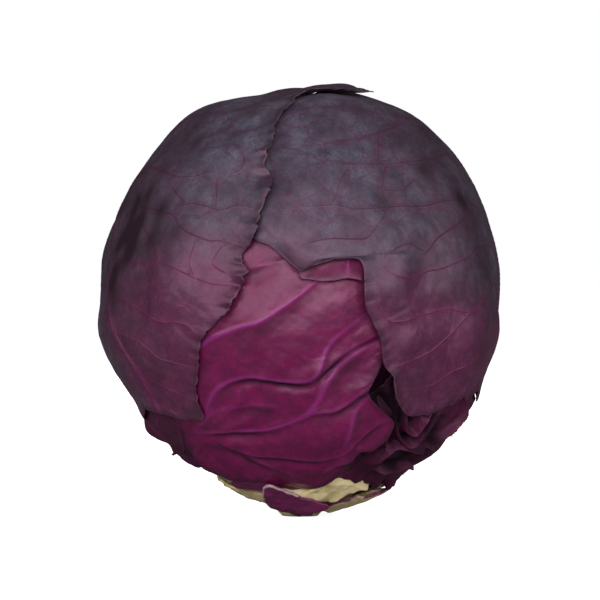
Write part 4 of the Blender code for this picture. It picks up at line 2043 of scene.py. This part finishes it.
@dataclass
class Studio:
    """The floor, the lights and the camera."""

    middle: tuple[float, float, float]
    distance: float = 1.6
    rise: float = 1.0
    frame_width: float = 0.2233
    boxes: tuple[SoftBox, ...] = (
        SoftBox("left_softbox", (-1.15, -1.06, 0.56), 1.55, 1.05, 13.0),
        SoftBox("middle_softbox", (0.0, -1.80, 0.56), 1.40, 1.05, 18.0),
        SoftBox("right_softbox", (1.30, -0.90, 0.56), 1.60, 1.05, 12.5),
        SoftBox("top_softbox", (0.0, -0.15, 1.25), 1.2, 1.0, 2.2, mirrored=False),
        SoftBox("back_softbox", (0.0, 1.5, 0.90), 1.6, 1.0, 8.0, mirrored=False),
    )

    def build(self) -> None:
        """Sets up the studio."""
        self.build_floor()
        for box in self.boxes:
            box.build(np.array(self.middle))
        self.build_world()
        self.build_camera()

    @staticmethod
    def build_floor() -> None:
        """Lays a plain pale floor."""
        bpy.ops.mesh.primitive_plane_add(size=12)
        floor = bpy.context.object
        floor.name = "floor"
        material, sheet, shader = new_material("pale_floor")
        path = sheet.add("ShaderNodeLightPath")
        seen = path.outputs["Is Camera Ray"]
        shade = sheet.blend(path.outputs["Is Glossy Ray"], (0.6, 0.6, 0.6), (0.12, 0.12, 0.12))
        sheet.feed(shader.inputs["Base Color"], sheet.blend(seen, shade, (0.9, 0.9, 0.9)))
        shader.inputs["Roughness"].default_value = 0.95
        shader.inputs["Specular IOR Level"].default_value = 0.0
        shader.inputs["Emission Color"].default_value = (1, 1, 1, 1)
        sheet.feed(shader.inputs["Emission Strength"], sheet.span(seen, 0.0, 1.0, 0.0, 0.86))
        floor.data.materials.append(material)
        floor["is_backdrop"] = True

    @staticmethod
    def build_world() -> None:
        """Surrounds the studio with plain white, dimmer as a light than as a backdrop."""
        world = bpy.data.worlds.new("plain_white")
        bpy.context.scene.world = world
        world.use_nodes = True
        sheet = NodeSheet(world.node_tree)
        back = world.node_tree.nodes["Background"]
        back.inputs["Color"].default_value = (1, 1, 1, 1)
        path = sheet.add("ShaderNodeLightPath")
        lit = sheet.span(path.outputs["Is Glossy Ray"], 0.0, 1.0, 0.20, 0.04)
        strength = sheet.sum("MAXIMUM", lit, path.outputs["Is Camera Ray"])
        sheet.feed(back.inputs["Strength"], strength)

    def build_camera(self) -> None:
        """Places a long lens level with the head."""
        tilt = math.radians(self.rise)
        aim = Vector(self.middle)
        place = aim + Vector((0, -math.cos(tilt), math.sin(tilt))) * self.distance
        bpy.ops.object.camera_add(location=place)
        camera = bpy.context.object
        camera.rotation_euler = (aim - place).to_track_quat("-Z", "Y").to_euler()
        camera.data.sensor_width = 36
        camera.data.lens = 36 * self.distance / self.frame_width
        camera.data.clip_start, camera.data.clip_end = 0.01, 60
        bpy.context.scene.camera = camera
        bpy.context.scene.view_settings.view_transform = "Standard"


def main() -> None:
    """Builds the head from its heart out, then the studio."""
    logging.basicConfig(level=logging.INFO, format="%(message)s")
    cad_low, cad_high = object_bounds()
    width, depth, height = (high - low for low, high in zip(cad_low, cad_high))
    head = HeadShape(
        centre=(0.0, 0.0, height / 2),
        radii=(width / 2 - 0.0030, depth / 2 - 0.0048, height / 2 - 0.0066),
    )
    effects = LeafEffects()
    Heart(head, effects).build()
    Stem().build()
    leaves = LooseLeaves(head, effects).build()
    LeafBases(head, effects).build(leaves)
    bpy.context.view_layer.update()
    Studio(middle=(0.0, 0.0, height / 2 - 0.0002)).build()


if __name__ == "__main__":
    main()
